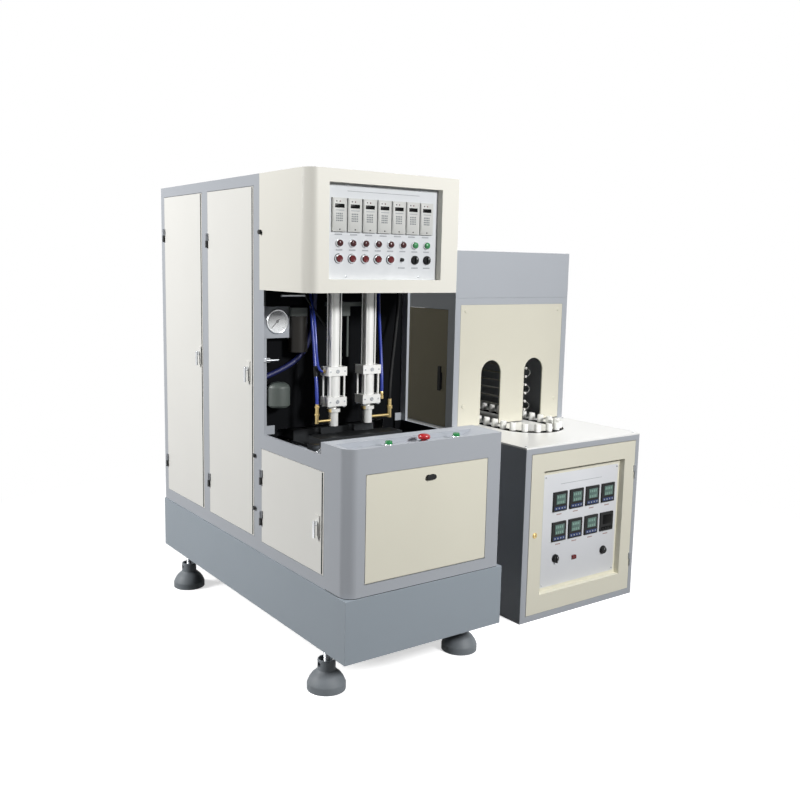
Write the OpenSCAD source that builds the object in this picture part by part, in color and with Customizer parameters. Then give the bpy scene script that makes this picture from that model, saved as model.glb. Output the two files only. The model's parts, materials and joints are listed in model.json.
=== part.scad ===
// Semi-automatic stretch blow moulding set: the blowing machine and, beside it,
// the preform heater. Millimetres. The origin is on the floor, under the middle
// of the whole set. +X is to the right of the operator, +Y is to the back, +Z is up.

/* [Blowing machine] */
// Width of the base
base_w = 730; // [690:5:800]
// Depth of the base
base_d = 1655; // [1600:5:1800]
// Height of the underside of the base above the floor
base_z = 167; // [150:1:190]
// Height of the top of the base
deck_z = 402; // [380:1:420]
// Height of the machine
body_top = 1900; // [1880:5:2050]
// Width of the body that stands on the base
body_w = 705; // [695:1:725]
// Set-back of the body from the front and left edges of the base
inset = 5; // [3:1:10]
// Depth at which the rear cabinet begins
cabinet_y = 649; // [640:1:680]
// Depth at which the rear cabinet ends
cabinet_end = 1650; // [1600:1:1655]
// Height of the sills of the open bay
sill_z = 890; // [880:1:900]
// Height of the instrument head
head_h = 442; // [420:1:460]
// Depth of the front of the instrument head
head_y = 283; // [270:1:300]
// Width of the instrument head
head_w = 690; // [680:1:700]
// Depth of the rear face of the console
console_d = 145; // [140:1:150]
// Height of the top of the console
console_top = 937; // [930:1:945]

/* [Feet] */
// Radius of a levelling foot
foot_r = 73; // [60:1:80]
// Distance from a foot's centre to the side of the base
foot_side = 44; // [40:1:60]
// Distance from a foot's centre to the front or rear of the base
foot_end = 190; // [150:5:300]
// Radius of the collar at the top of a levelling foot
collar_r = 34; // [28:1:38]
// Radius of a foot's stud
stud_r = 12; // [8:1:14]

/* [Sheet metal and doors] */
// Thickness of the housing sheets
sheet_t = 5; // [3:1:6]
// Thickness of a door with its folded edge
door_t = 18; // [15:1:20]
// Gap around each door
door_gap = 2; // [1.5:0.5:3]
// Radius of a hinge barrel
barrel_r = 5; // [4:0.5:6]
// Height of each half of a hinge
knuckle_h = 30; // [20:1:36]
// Radius of a hinge pin
hinge_pin_r = 2.5; // [2:0.25:3]
// Free play between a turning or sliding piece and its bore
fit = 0.05; // [0.02:0.01:0.1]

/* [Mould and clamp] */
// Distance of the parting plane from the front of the base
parting_y = 510; // [505:1:515]
// Distance of each cavity from the middle of the machine
cavity_x = 82; // [75:1:90]
// Width of the mould
mould_w = 392; // [380:2:400]
// Thickness of one half of the mould
mould_t = 90; // [80:1:100]
// Height of the top of the mould
mould_top = 892; // [885:1:895]
// Height of the mould
mould_h = 332; // [300:2:350]
// Radius of the bottle cavity
bottle_r = 42; // [35:1:46]
// Thickness of each platen
platen_t = 40; // [30:1:50]
// Radius of a tie bar
tie_r = 16; // [12:1:18]
// Opening stroke of the mould, which stands open in the model
clamp_stroke = 120; // [100:5:140]

/* [Blow cylinders] */
// Radius of the blow nozzle
nozzle_r = 19; // [16:1:22]
// Height of the nozzle's mouth when raised
nozzle_z = 922; // [918:1:930]
// Height of the underside of the sealing cylinder
seal_z = 1004; // [998:1:1014]
// Outer radius of the sealing cylinder's tube
seal_r = 25; // [22:1:28]
// Height at which the stretching cylinder begins
stretch_z = 1161; // [1155:1:1175]
// Length of the stretching cylinder
stretch_len = 420; // [400:5:430]
// Outer radius of the stretching cylinder's tube
stretch_r = 21; // [18:1:22]
// Radius of the stretch rod
stretch_rod_r = 5; // [4:0.5:6]

/* [Instruments] */
// Number of timers
timer_count = 7; // [5:1:7]
// Distance between timers
timer_pitch = 66.6; // [62:0.2:68]
// Distance between lamps
lamp_pitch = 57.4; // [54:0.2:60]
// Depth at which the instruments are sunk into the head
recess = 30; // [25:1:40]
// Radius of the pressure gauge
gauge_r = 48; // [40:1:50]
// Radius of the head of the stop button
stop_r = 22.5; // [20:0.5:25]

/* [Preform heater] */
// Distance from the machine's base to the heater's left side, from its left edge
heater_left = 1069; // [1000:1:1300]
// Distance of the heater's front behind the base's front
heater_front = 232; // [200:1:300]
// Width of the heater
heater_w = 739; // [720:1:780]
// Depth of the heater
heater_d = 1420; // [1390:5:1423]
// Height of the heater's table
table_z = 795; // [780:1:810]
// Height of the oven's roof
oven_top = 1635; // [1600:5:1700]
// Distance of the oven's face behind the heater's front
oven_set = 505; // [480:5:540]
// Distance of each preform row from the middle of the heater
row_x = 146; // [140:1:150]
// Distance of the front turn's centre behind the heater's front
turn_y = 386; // [370:1:400]
// Straight length of the preform rows
row_len = 840; // [800:10:860]
// Width of an oven arch
arch_w = 127; // [115:1:135]
// Height of the top of an oven arch
arch_top = 1115; // [1090:1:1150]
// Half width of the slot in the table
slot_half = 23; // [21:1:26]
// Distance between preform carriers along their loop
carrier_pitch = 60; // [56:1:80]
// Radius of a preform carrier's cup
cup_r = 15.5; // [13:0.5:17]

/* [Hidden] */
$fn = 32;
lever_out = 22;
set_left = foot_side - foot_r;
set_right = heater_left + heater_w;
set_back = max(base_d, heater_front + heater_d);
shift_x = -(set_left + set_right) / 2;
shift_y = -(inset - lever_out + set_back) / 2;
body_r = inset + body_w;
mid_x = inset + head_w / 2 - 5;
head_z = body_top - head_h;
head_corner = 50;
// The front right corners are folded sharp, the left ones are rolled
sharp_r = 6;
post_w = 37;
mullion_y = cabinet_y + 479;
mullion_w = 57;
front_post = 48;
back_post_y = cabinet_end - post_w;
cab_door_z0 = deck_z + 53;
cab_door_z1 = body_top - 43;
cab_door_mid = (cab_door_z0 + cab_door_z1) / 2;
cab_depth = 40;
bulk_t = 12;
bay_t = 12;
low_y0 = console_d + 10;
low_y1 = cabinet_y - 16;
low_z0 = deck_z + 46;
low_z1 = sill_z - 57;
axis_out = 6;
leaf_w = 9;
cam_gap = 3;
cam_t = 3;
rear_hinges = [cab_door_z1 - 176, cab_door_z0 + 145];
front_hinges = [cab_door_z1 - 205, cab_door_z0 + 147];
low_hinges = [low_z1 - 117, low_z0 + 101];
rear_lock_y = mullion_y + mullion_w + 35;
rear_lock_z = cab_door_mid + 4;
front_lock_y = cabinet_y + front_post + 48;
front_lock_z = cab_door_mid - 16;
low_lock_y = low_y0 + 43;
low_lock_z = low_z0 + 189;
console_x0 = inset + 77;
console_x1 = inset + 638;
console_z0 = deck_z + 44;
console_z1 = deck_z + 442;
console_r = 48;
console_lock_x = inset + 361;
console_lock_z = console_z1 - 41;
tray_z = console_top - 19;
desk_y = inset + 58;
start_x = [inset + 212, inset + 525];
stop_x = inset + 372;
stop_stem_r = 9;
window_x0 = inset + 90;
window_x1 = inset + 605;
window_z0 = head_z + 49;
window_z1 = body_top - 47;
plate_y = head_y + recess;
plate_t = 4;
timer_x = inset + 117;
timer_z = head_z + 222;
timer_w = 60;
timer_h = 121;
lamp_count = 8;
lamp_z = head_z + 181;
lamp_x = inset + 151;
lamp_r = 11;
button_z = head_z + 125;
button_x = inset + 149;
button_pitch = 57.8;
button_count = 5;
buzzer_x = inset + 435;
select_x = inset + 498;
select_pitch = 58;
cap_r = 13;
stem_r = 11;
front_platen_y = parting_y - mould_t - platen_t;
move_y = parting_y + clamp_stroke;
rear_platen_y = parting_y + 480;
platen_z0 = 500;
platen_z1 = 880;
platen_w = 510;
tie_x = 225;
tie_z0 = 532;
tie_z1 = 848;
clamp_z = (platen_z0 + platen_z1) / 2;
clamp_r = 70;
clamp_rod_r = 25;
clamp_len = 200;
block_w = 86;
block_d = 60;
block_h = 36;
seal_rod_x = 33;
stretch_rod_x = 21;
rod_flat = 0.78;
beam_z = stretch_z + 235;
beam_t = 17;
gauge_x = inset + bay_t + 1 + gauge_r - 4;
gauge_z = head_z - 121;
gauge_face = cabinet_y - post_w - 3;
hose_top = head_z + 40;
hose_y = cabinet_y - 30;
pipe_z = nozzle_z + 22;
pipe_left = 77;
pipe_right = 110;
jamb = 34;
hdoor_z0 = 30;
hdoor_z1 = 760;
hdoor_x1 = heater_w - jamb + 11;
heater_hinges = [hdoor_z1 - 150, hdoor_z0 + 149];
heater_lock_x = jamb + 36;
heater_lock_z = hdoor_z0 + 366;
panel_x0 = jamb + 80;
panel_x1 = jamb + 609;
panel_z0 = hdoor_z0 + 85;
panel_z1 = hdoor_z0 + 649;
controller_x = panel_x0 + 88;
controller_z = [panel_z0 + 362, panel_z0 + 222];
controller_w = 88;
controller_h = 90;
controller_pitch = 106;
knob_x = panel_x0 + 438;
knob_z = panel_z0 + 128;
switch_x = panel_x0 + 118;
switch_z = panel_z0 + 142;
rocker_x = panel_x0 + 241;
rocker_z = panel_z0 + 126;
hmid = heater_w / 2 + 13.5;
table_t = 8;
track_z = table_z - 62;
turn_end = turn_y + row_len;
loop_len = 2 * row_len + 2 * PI * row_x;
carrier_count = round(loop_len / carrier_pitch);
arch_x = row_x - 4;
oven_t = 12;
side_y0 = oven_set + 52;
side_y1 = heater_d - 60;
side_z0 = table_z + 5;
side_z1 = table_z + 563;
oven_hinges = [side_z1 - 118, side_z0 + 100];
oven_lock_y = oven_set + 101;
oven_lock_z = side_z0 + 229;
lamp_bar_z = [for (i = [0:6]) table_z + 55 + 42 * i];

// Colours
paint = [0.65, 0.67, 0.73];
paint_dark = [0.57, 0.6, 0.63];
cream = [0.87, 0.86, 0.8];
foot_grey = [0.4, 0.42, 0.44];
dark = [0.12, 0.12, 0.13];
steel = [0.78, 0.79, 0.8];
white = [0.93, 0.93, 0.91];
brass = [0.78, 0.66, 0.35];
blue = [0.1, 0.25, 0.7];
red = [0.8, 0.12, 0.12];
green = [0.1, 0.6, 0.25];

// Helpers
module at_blower() {
  translate([shift_x, shift_y, 0]) children();
}

module at_heater() {
  translate([shift_x + heater_left, shift_y + heater_front, 0]) children();
}

module slab(x0, x1, y0, y1, z0, z1) {
  translate([x0, y0, z0]) cube([x1 - x0, y1 - y0, z1 - z0]);
}

module rod_z(x, y, z0, z1, r) {
  translate([x, y, z0]) cylinder(r = r, h = z1 - z0);
}

module rod_y(x, z, y0, y1, r) {
  translate([x, y1, z]) rotate([90, 0, 0]) cylinder(r = r, h = y1 - y0);
}

module rod_x(y, z, x0, x1, r) {
  translate([x0, y, z]) rotate([0, 90, 0]) cylinder(r = r, h = x1 - x0);
}

// A plan shape with a wide front left corner and a sharp front right one
module front_rounded(x0, x1, y0, y1, r, r2) {
  translate([x0, y0 + r]) square([x1 - x0, y1 - y0 - r]);
  translate([x0 + r, y0]) square([x1 - x0 - r - r2, r + 1]);
  translate([x1 - r2 - 1, y0 + r2]) square([r2 + 1, r]);
  translate([x0 + r, y0 + r]) circle(r = r);
  translate([x1 - r2, y0 + r2]) circle(r = r2);
}

// Half of a hinge with its axis along Z: dir is -1 for the leaf on the door
module side_knuckle(x, y, z0, z1, dir, bore) {
  difference() {
    union() {
      rod_z(x, y, z0, z1, barrel_r);
      slab(x, x + axis_out, min(y, y + dir * leaf_w), max(y, y + dir * leaf_w), z0, z1);
    }
    rod_z(x, y, z0 - 1, z1 + 1, bore);
  }
}

// The fixed lower leaf and the pin of a side hinge
module side_hinge_fixed(x, y, z) {
  side_knuckle(x, y, z - knuckle_h, z - 0.5, 1, hinge_pin_r - 0.5);
  rod_z(x, y, z - knuckle_h, z + knuckle_h - 2, hinge_pin_r);
}

// A quarter-turn lever with its spindle along +X; the cam hangs down at rest
module side_lever(x, y, z, frame_t, cam_len) {
  deep = frame_t + cam_gap;
  rod_x(y, z, x - 14, x + deep + cam_t, 6);
  rod_x(y, z, x - 12, x - 3.2, 11);
  slab(x - lever_out, x - 12, y - 8, y + 8, z - 62, z + 11);
  slab(x + deep, x + deep + cam_t, y - 7, y + 7, z - cam_len, z + 7);
}

// A side door: folded sheet with two hinge leaves and a hole for its lever
module side_door(x, y0, y1, z0, z1, hinge_z, lock_y, lock_z) {
  axis_y = y1 + door_gap / 2;
  bore = hinge_pin_r + fit;
  difference() {
    union() {
      slab(x, x + door_t, y0, y1, z0, z1);
      slab(x - 3, x, lock_y - 16, lock_y + 16, lock_z - 50, lock_z + 30);
      for (z = hinge_z) {
        side_knuckle(x - axis_out, axis_y, z + 0.5, z + knuckle_h, -1, bore);
      }
    }
    slab(x + 3, x + door_t + 1, y0 + 30, y1 - 30, z0 + 30, lock_z - 40);
    slab(x + 3, x + door_t + 1, y0 + 30, y1 - 30, lock_z + 40, z1 - 30);
    for (z = hinge_z) {
      rod_z(x - axis_out, axis_y, z, z + knuckle_h + 1, bore);
    }
    rod_x(lock_y, lock_z, x - 4, x + door_t + 1, 6 + fit);
  }
}

// Points of a smooth hose through four control points
function bez(p, t) = pow(1 - t, 3) * p[0] + 3 * t * pow(1 - t, 2) * p[1]
  + 3 * t * t * (1 - t) * p[2] + t * t * t * p[3];
function unit(v) = v / norm(v);

function bez_dir(p, t) = unit(pow(1 - t, 2) * (p[1] - p[0])
  + 2 * t * (1 - t) * (p[2] - p[1]) + t * t * (p[3] - p[2]));

// A round tube swept along a cubic curve, with square ends
module hose(p, r, rings = 18, sides = 10) {
  path = [for (i = [0:rings]) bez(p, i / rings)];
  dirs = [for (i = [0:rings]) bez_dir(p, i / rings)];
  us = [for (d = dirs) unit(cross(d, [0, 1, 0]))];
  pts = [for (i = [0:rings], j = [0:sides - 1])
    path[i] + r * (cos(360 * j / sides) * us[i]
    + sin(360 * j / sides) * cross(dirs[i], us[i]))];
  caps = [
    [for (j = [0:sides - 1]) j],
    [for (j = [sides - 1:-1:0]) rings * sides + j]
  ];
  walls = [for (i = [0:rings - 1], j = [0:sides - 1]) [
    i * sides + j, (i + 1) * sides + j,
    (i + 1) * sides + (j + 1) % sides, i * sides + (j + 1) % sides]];
  polyhedron(points = pts, faces = concat(caps, walls), convexity = 6);
}

// Base and feet
module base_plinth() {
  color(paint_dark) at_blower() difference() {
    union() {
      difference() {
        slab(0, base_w, 0, base_d, base_z, deck_z);
        slab(sheet_t, base_w - sheet_t, sheet_t, base_d - sheet_t,
             base_z - 1, deck_z - 8);
      }
      for (y = [base_d / 3, 2 * base_d / 3]) {
        slab(1, base_w - 1, y - 30, y + 30, base_z, deck_z - 1);
      }
      for (x = [0, base_w - 110], y = [foot_end - 60, base_d - foot_end - 60]) {
        slab(x + 1, x + 109, y, y + 120, base_z, base_z + 12);
      }
      slab(300, 360, base_d - 45, base_d - 1, 250, 310);
    }
    for (x = [foot_side, base_w - foot_side], y = [foot_end, base_d - foot_end]) {
      rod_z(x, y, base_z - 1, base_z + 13, stud_r + 0.5);
    }
    rod_y(330, 280, base_d - 30, base_d + 1, 9.5);
  }
}

module each_foot() {
  for (x = [foot_side, base_w - foot_side], y = [foot_end, base_d - foot_end]) {
    translate([x, y, 0]) children();
  }
}

module foot_pads() {
  color(foot_grey) at_blower() each_foot() difference() {
    rotate_extrude() polygon([
      [0, 0], [foot_r, 0], [foot_r, 24], [foot_r - 2, 29], [foot_r - 8, 42],
      [foot_r - 18, 56], [foot_r - 30, 67], [collar_r + 2, 73], [collar_r, 77],
      [collar_r, 113], [collar_r - 2, 116], [collar_r - 6, 116], [collar_r - 6, 90],
      [stud_r + 0.3, 90], [stud_r + 0.3, 84], [0, 84]
    ]);
    rod_x(0, 98, -collar_r - 1, -collar_r + 9, 9);
    rod_x(0, 98, collar_r - 9, collar_r + 1, 9);
  }
}

module foot_studs() {
  color(steel) at_blower() each_foot() {
    union() {
      rod_z(0, 0, 84, base_z + 32, stud_r);
      translate([0, 0, base_z - 18]) cylinder(r = 21, h = 18, $fn = 6);
      translate([0, 0, base_z + 12]) cylinder(r = 21, h = 15, $fn = 6);
    }
  }
}

// Rear cabinet
module cabinet_side(x0) {
  x1 = x0 + cab_depth;
  difference() {
    slab(x0, x1, cabinet_y, cabinet_end, deck_z, body_top);
    slab(x0 - 1, x1 + 1, cabinet_y + front_post, mullion_y, cab_door_z0, cab_door_z1);
    slab(x0 - 1, x1 + 1, mullion_y + mullion_w, back_post_y, cab_door_z0, cab_door_z1);
  }
}

module cabinet_frame() {
  rail_x0 = inset + cab_depth - 1;
  rail_x1 = body_r - cab_depth + 1;
  rail_h = 50;
  color(paint) at_blower() difference() {
    union() {
      cabinet_side(inset);
      cabinet_side(body_r - cab_depth);
      slab(inset + 1, body_r - 1, cabinet_y, cabinet_end, body_top - 12, body_top);
      slab(inset + 1, body_r - 1, cabinet_y, cabinet_y + bulk_t, deck_z, body_top - 1);
      for (z = [deck_z, body_top - 60]) {
        slab(rail_x0, rail_x1, cabinet_end - 40, cabinet_end, z, z + rail_h);
      }
    }
    slab(mid_x - platen_w / 2 - 6, mid_x + platen_w / 2 + 6, cabinet_y - 1,
         cabinet_y + bulk_t + 1, platen_z0 - 20, mould_top + 8);
  }
}

module louvred_panel() {
  y0 = cabinet_end - 10;
  difference() {
    slab(inset + cab_depth, body_r - cab_depth, y0, cabinet_end,
         deck_z + 50, body_top - 60);
    for (x = [mid_x - 215, mid_x + 55], i = [0:9], z = [deck_z + 158, body_top - 400]) {
      slab(x, x + 180, y0 - 1, cabinet_end + 1, z + 18 * i, z + 18 * i + 7);
    }
  }
}

module cabinet_panels() {
  color(cream) at_blower() {
    slab(body_r - 10, body_r, cabinet_y + front_post + 0.3, mullion_y - 0.3,
         cab_door_z0, cab_door_z1 - 0.3);
    slab(body_r - 10, body_r, mullion_y + mullion_w + 0.3, back_post_y - 0.3,
         cab_door_z0, cab_door_z1 - 0.3);
    louvred_panel();
  }
}

// Open bay between the console and the cabinet, with an angle bracket at each post
module bay_side(x0, x1, closed) {
  difference() {
    slab(x0, x1, console_d, cabinet_y - 0.2, deck_z, sill_z);
    if (!closed) {
      slab(x0 - 1, x1 + 1, low_y0, low_y1, low_z0, low_z1);
    }
  }
  slab(x0, x1, cabinet_y - post_w, cabinet_y - 0.2, sill_z - 1, head_z);
}

module bay_frame() {
  x0 = inset + bay_t - 1;
  x1 = body_r - bay_t + 1;
  color(paint) at_blower() {
    union() {
      bay_side(inset, inset + bay_t, false);
      slab(x0, x0 + 40, cabinet_y - 31, cabinet_y - 27, sill_z - 30, sill_z + 34);
      slab(x0, x0 + 4, cabinet_y - 31, cabinet_y - 0.2, sill_z - 30, sill_z + 34);
    }
    union() {
      bay_side(body_r - bay_t, body_r, true);
      slab(x1 - 37, x1, cabinet_y - 11, cabinet_y - 7, sill_z - 46, sill_z + 32);
      slab(x1 - 4, x1, cabinet_y - 11, cabinet_y - 0.2, sill_z - 46, sill_z + 32);
    }
  }
}

// Console
module console_shell() {
  inner = inset + sheet_t;
  color(paint) at_blower() difference() {
    union() {
      difference() {
        translate([0, 0, deck_z]) linear_extrude(console_top - deck_z)
          front_rounded(inset, body_r, inset, console_d, console_r, sharp_r);
        translate([0, 0, deck_z - 1]) linear_extrude(console_top - deck_z - 30)
          front_rounded(inner, body_r - sheet_t, inner, console_d - sheet_t,
                        console_r - sheet_t, 1);
      }
      slab(console_x0 + 5, console_x1 - 5, inner - 1, inset + door_t,
           console_z1 + door_gap, console_z1 + 14);
      for (x = [console_x0 - 14, console_x1 + 2]) {
        slab(x, x + 12, inner - 1, inset + door_t, console_z0 - 6, console_z0 + 16);
      }
      slab(inset, body_r, console_d - 1, 180, sill_z + 0.3, console_top);
    }
    slab(console_x0, console_x1, 0, inner + 0.01, console_z0, console_z1);
    translate([0, 118, 0]) rotate([90, 0, 0]) linear_extrude(104) polygon([
      [inset + 20, console_top + 1], [inset + 20, console_top], [inset + 55, tray_z],
      [inset + 610, tray_z], [inset + 645, console_top], [inset + 645, console_top + 1]
    ]);
    for (x = start_x) {
      rod_z(x, desk_y, tray_z - 40, tray_z + 1, cap_r + 1);
    }
    rod_z(stop_x, desk_y, tray_z - 40, tray_z + 1, stop_stem_r + 3);
    rod_x(inset + 6, console_z0 + 7, console_x0 - 15, console_x0 + 3, 3);
    rod_x(inset + 6, console_z0 + 7, console_x1 - 3, console_x1 + 15, 3);
  }
}

module console_door() {
  x0 = console_x0 + door_gap;
  x1 = console_x1 - door_gap;
  y1 = inset + door_t;
  ax_y = inset + 6;
  ax_z = console_z0 + 7;
  color(cream) at_blower() difference() {
    union() {
      slab(x0, x1, inset, y1, ax_z, console_z1 - door_gap);
      slab(x0, x1, ax_y, y1, console_z0 + door_gap, ax_z + 1);
      rod_x(ax_y, ax_z, x0, x1, 6);
    }
    slab(x0 + 30, x1 - 30, inset + 3, y1 + 1, ax_z + 25, console_lock_z - 30);
    for (x = [x0, x1]) {
      rod_x(ax_y, ax_z, x - 16, x + 16, 3 + fit);
    }
    rod_y(console_lock_x, console_lock_z, inset - 1, y1 + 1, 6 + fit);
  }
}

// Instrument head
module head_cover() {
  x1 = inset + head_w;
  c = sheet_t;
  color(cream) at_blower() {
    difference() {
      union() {
        difference() {
          translate([0, 0, head_z + 0.2]) linear_extrude(body_top - head_z - 0.2)
            front_rounded(inset, x1, head_y, cabinet_y - 0.2, head_corner, sharp_r);
          translate([0, 0, head_z - 1]) linear_extrude(body_top - head_z + 1 - c)
            front_rounded(inset + c, x1 - c, head_y + c, cabinet_y + 5,
                          head_corner - c, 1);
        }
        slab(window_x0 - c, window_x1 + c, head_y + 1, plate_y + plate_t,
             window_z0 - c, window_z1 + c);
      }
      slab(window_x0, window_x1, head_y - 1, plate_y + plate_t + 1,
           window_z0, window_z1);
    }
    rod_x(cabinet_y - 12, head_z + 221, inset - 10, inset + 1, 9);
  }
}

module instrument_plate() {
  color(white) at_blower() difference() {
    slab(window_x0 + 0.1, window_x1 - 0.1, plate_y, plate_y + plate_t,
         window_z0 + 0.1, window_z1 - 0.1);
    for (i = [0:timer_count - 1]) {
      x = timer_x + i * timer_pitch;
      slab(x + 2.8, x + timer_w - 2.8, plate_y - 1, plate_y + plate_t + 1,
           timer_z + 9.8, timer_z + timer_h - 9.8);
    }
    for (i = [0:lamp_count - 1]) {
      rod_y(lamp_x + i * lamp_pitch, lamp_z, plate_y - 1, plate_y + plate_t + 1,
            lamp_r + 0.2);
    }
    for (i = [0:button_count - 1]) {
      rod_y(button_x + i * button_pitch, button_z, plate_y - 1,
            plate_y + plate_t + 1, cap_r + 0.6);
    }
    for (i = [0:1]) {
      rod_y(select_x + i * select_pitch, button_z, plate_y - 1, plate_y + plate_t + 1,
            cap_r + 0.6);
    }
  }
}

module timer_modules() {
  color(white) at_blower() for (i = [0:timer_count - 1]) {
    x = timer_x + i * timer_pitch;
    difference() {
      union() {
        slab(x, x + timer_w, plate_y - 9, plate_y, timer_z, timer_z + timer_h);
        slab(x + 3, x + timer_w - 3, plate_y - 1, plate_y + 60, timer_z + 10,
             timer_z + timer_h - 10);
      }
      slab(x + 9, x + timer_w - 9, plate_y - 10, plate_y - 7.5, timer_z + 84,
           timer_z + 100);
    }
  }
}

module pilot_lamps() {
  color(red) at_blower() for (i = [0:lamp_count - 1]) {
    translate([lamp_x + i * lamp_pitch, plate_y, lamp_z]) rotate([90, 0, 0])
      rotate_extrude($fn = 24) polygon([
        [0, -34], [lamp_r, -34], [lamp_r, 0], [lamp_r + 4, 0], [lamp_r + 4, 5],
        [lamp_r + 2, 7], [lamp_r + 1, 11], [lamp_r - 3, 13.5], [0, 14.5]
      ]);
  }
}

// A bezel with a sleeve: the moving cap sinks into it
module bezel(h) {
  rotate_extrude($fn = 32) polygon([
    [cap_r + 0.2, 0], [cap_r + 0.2, h], [cap_r + 3, h], [cap_r + 4, h - 2],
    [cap_r + 4, 0], [cap_r + 0.4, 0], [cap_r + 0.4, -16], [stem_r + fit, -16],
    [stem_r + fit, 0]
  ]);
}

module control_bezels() {
  color(dark) at_blower() {
    for (i = [0:button_count - 1]) {
      translate([button_x + i * button_pitch, plate_y, button_z])
        rotate([90, 0, 0]) bezel(7);
    }
    for (i = [0:1]) {
      translate([select_x + i * select_pitch, plate_y, button_z])
        rotate([90, 0, 0]) bezel(7);
    }
    rod_y(buzzer_x, button_z, plate_y - 11, plate_y, 7.5);
    for (x = start_x) {
      translate([x, desk_y, tray_z]) bezel(12);
    }
    translate([stop_x, desk_y, tray_z]) difference() {
      cylinder(r = 20, h = 8);
      translate([0, 0, -1]) cylinder(r = stop_stem_r + fit, h = 10);
    }
  }
}

module hinge_pins() {
  color(dark) at_blower() {
    for (z = front_hinges) {
      side_hinge_fixed(inset - axis_out, mullion_y, z);
    }
    for (z = rear_hinges) {
      side_hinge_fixed(inset - axis_out, back_post_y, z);
    }
    for (z = low_hinges) {
      side_hinge_fixed(inset - axis_out, low_y1, z);
    }
    for (x = [console_x0 - 14, console_x1 - 13]) {
      rod_x(inset + 6, console_z0 + 7, x, x + 27, 3);
    }
  }
  color(dark) at_heater() {
    for (z = heater_hinges) {
      front_hinge_fixed(hdoor_x1, -axis_out, z);
    }
    for (z = oven_hinges) {
      side_hinge_fixed(-axis_out, side_y1, z);
    }
  }
}

// Hinge on the heater's front: the leaf lies across X
module front_knuckle(x, y, z0, z1, dir, bore) {
  difference() {
    union() {
      rod_z(x, y, z0, z1, barrel_r);
      slab(min(x, x + dir * leaf_w), max(x, x + dir * leaf_w), y, y + axis_out, z0, z1);
    }
    rod_z(x, y, z0 - 1, z1 + 1, bore);
  }
}

module front_hinge_fixed(x, y, z) {
  front_knuckle(x, y, z - knuckle_h, z - 0.5, 1, hinge_pin_r - 0.5);
  rod_z(x, y, z - knuckle_h, z + knuckle_h - 2, hinge_pin_r);
}

// Mould and clamp
module cavity(x) {
  translate([x, 0, mould_top]) rotate_extrude($fn = 40) polygon([
    [0, 1], [14, 1], [14, -18], [17, -22], [22, -50], [bottle_r - 8, -84],
    [bottle_r, -104], [bottle_r, -150], [bottle_r - 2, -154],
    [bottle_r - 2, -186], [bottle_r, -190], [bottle_r, -286],
    [bottle_r - 8, -300], [0, -294]
  ]);
}

module mould_half(y0, y1, face) {
  difference() {
    slab(mid_x - mould_w / 2, mid_x + mould_w / 2, y0, y1, mould_top - mould_h,
         mould_top);
    for (s = [-1, 1]) {
      translate([0, face, 0]) cavity(mid_x + s * cavity_x);
    }
    for (z = [120, 240]) {
      rod_x((y0 + y1) / 2 + (y1 > face + 1 ? 18 : -18), mould_top - z,
            mid_x - mould_w / 2 - 1, mid_x - mould_w / 2 + 60, 6);
    }
  }
}

module front_mould_half() {
  color(steel) at_blower() mould_half(parting_y - mould_t, parting_y, parting_y);
}

module rear_mould_half() {
  color(steel) at_blower() mould_half(move_y, move_y + mould_t, move_y);
}

module tie_places() {
  for (x = [mid_x - tie_x, mid_x + tie_x], z = [tie_z0, tie_z1]) {
    translate([x, 0, z]) children();
  }
}

module platen(y0, hole) {
  difference() {
    slab(mid_x - platen_w / 2, mid_x + platen_w / 2, y0, y0 + platen_t,
         platen_z0, platen_z1);
    tie_places() rod_y(0, 0, y0 - 1, y0 + platen_t + 1, hole);
  }
}

module platen_feet(y0) {
  for (x = [mid_x - platen_w / 2, mid_x + platen_w / 2 - 60]) {
    slab(x, x + 60, y0, y0 + platen_t, deck_z, platen_z0 + 1);
  }
}

module fixed_platens() {
  color(steel) at_blower() {
    union() {
      platen(front_platen_y, tie_r);
      platen_feet(front_platen_y);
    }
    difference() {
      union() {
        platen(rear_platen_y, tie_r);
        platen_feet(rear_platen_y);
      }
      rod_y(mid_x, clamp_z, rear_platen_y - 1, rear_platen_y + platen_t + 1,
            clamp_rod_r + 0.3);
    }
  }
}

module moving_platen() {
  y0 = move_y + mould_t;
  rod_end = rear_platen_y + platen_t + clamp_len - 40;
  color(steel) at_blower() union() {
    platen(y0, tie_r + fit);
    rod_y(mid_x, clamp_z, y0 + platen_t - 1, y0 + platen_t + 40, 40);
    rod_y(mid_x, clamp_z, y0 + platen_t, rod_end, clamp_rod_r);
    rod_y(mid_x, clamp_z, rod_end - 24, rod_end, clamp_r - 8 - fit);
  }
}

module tie_bars() {
  color(steel) at_blower() tie_places() union() {
    rod_y(0, 0, front_platen_y - 26, rear_platen_y + platen_t + 26, tie_r);
    rod_y(0, 0, front_platen_y - 24, front_platen_y, tie_r + 9);
    rod_y(0, 0, rear_platen_y + platen_t, rear_platen_y + platen_t + 24, tie_r + 9);
  }
}

module clamp_cylinder() {
  y0 = rear_platen_y + platen_t;
  color(steel) at_blower() {
    difference() {
      rod_y(mid_x, clamp_z, y0, y0 + clamp_len, clamp_r);
      rod_y(mid_x, clamp_z, y0 + 14, y0 + clamp_len - 14, clamp_r - 8);
      rod_y(mid_x, clamp_z, y0 - 1, y0 + 15, clamp_rod_r + fit);
    }
  }
}

// Blow cylinders
module corner_rods(x, z0, z1, half, r) {
  for (i = [-1, 1], j = [-1, 1]) {
    rod_z(x + i * half, parting_y + j * half * rod_flat, z0, z1, r);
  }
}

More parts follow.
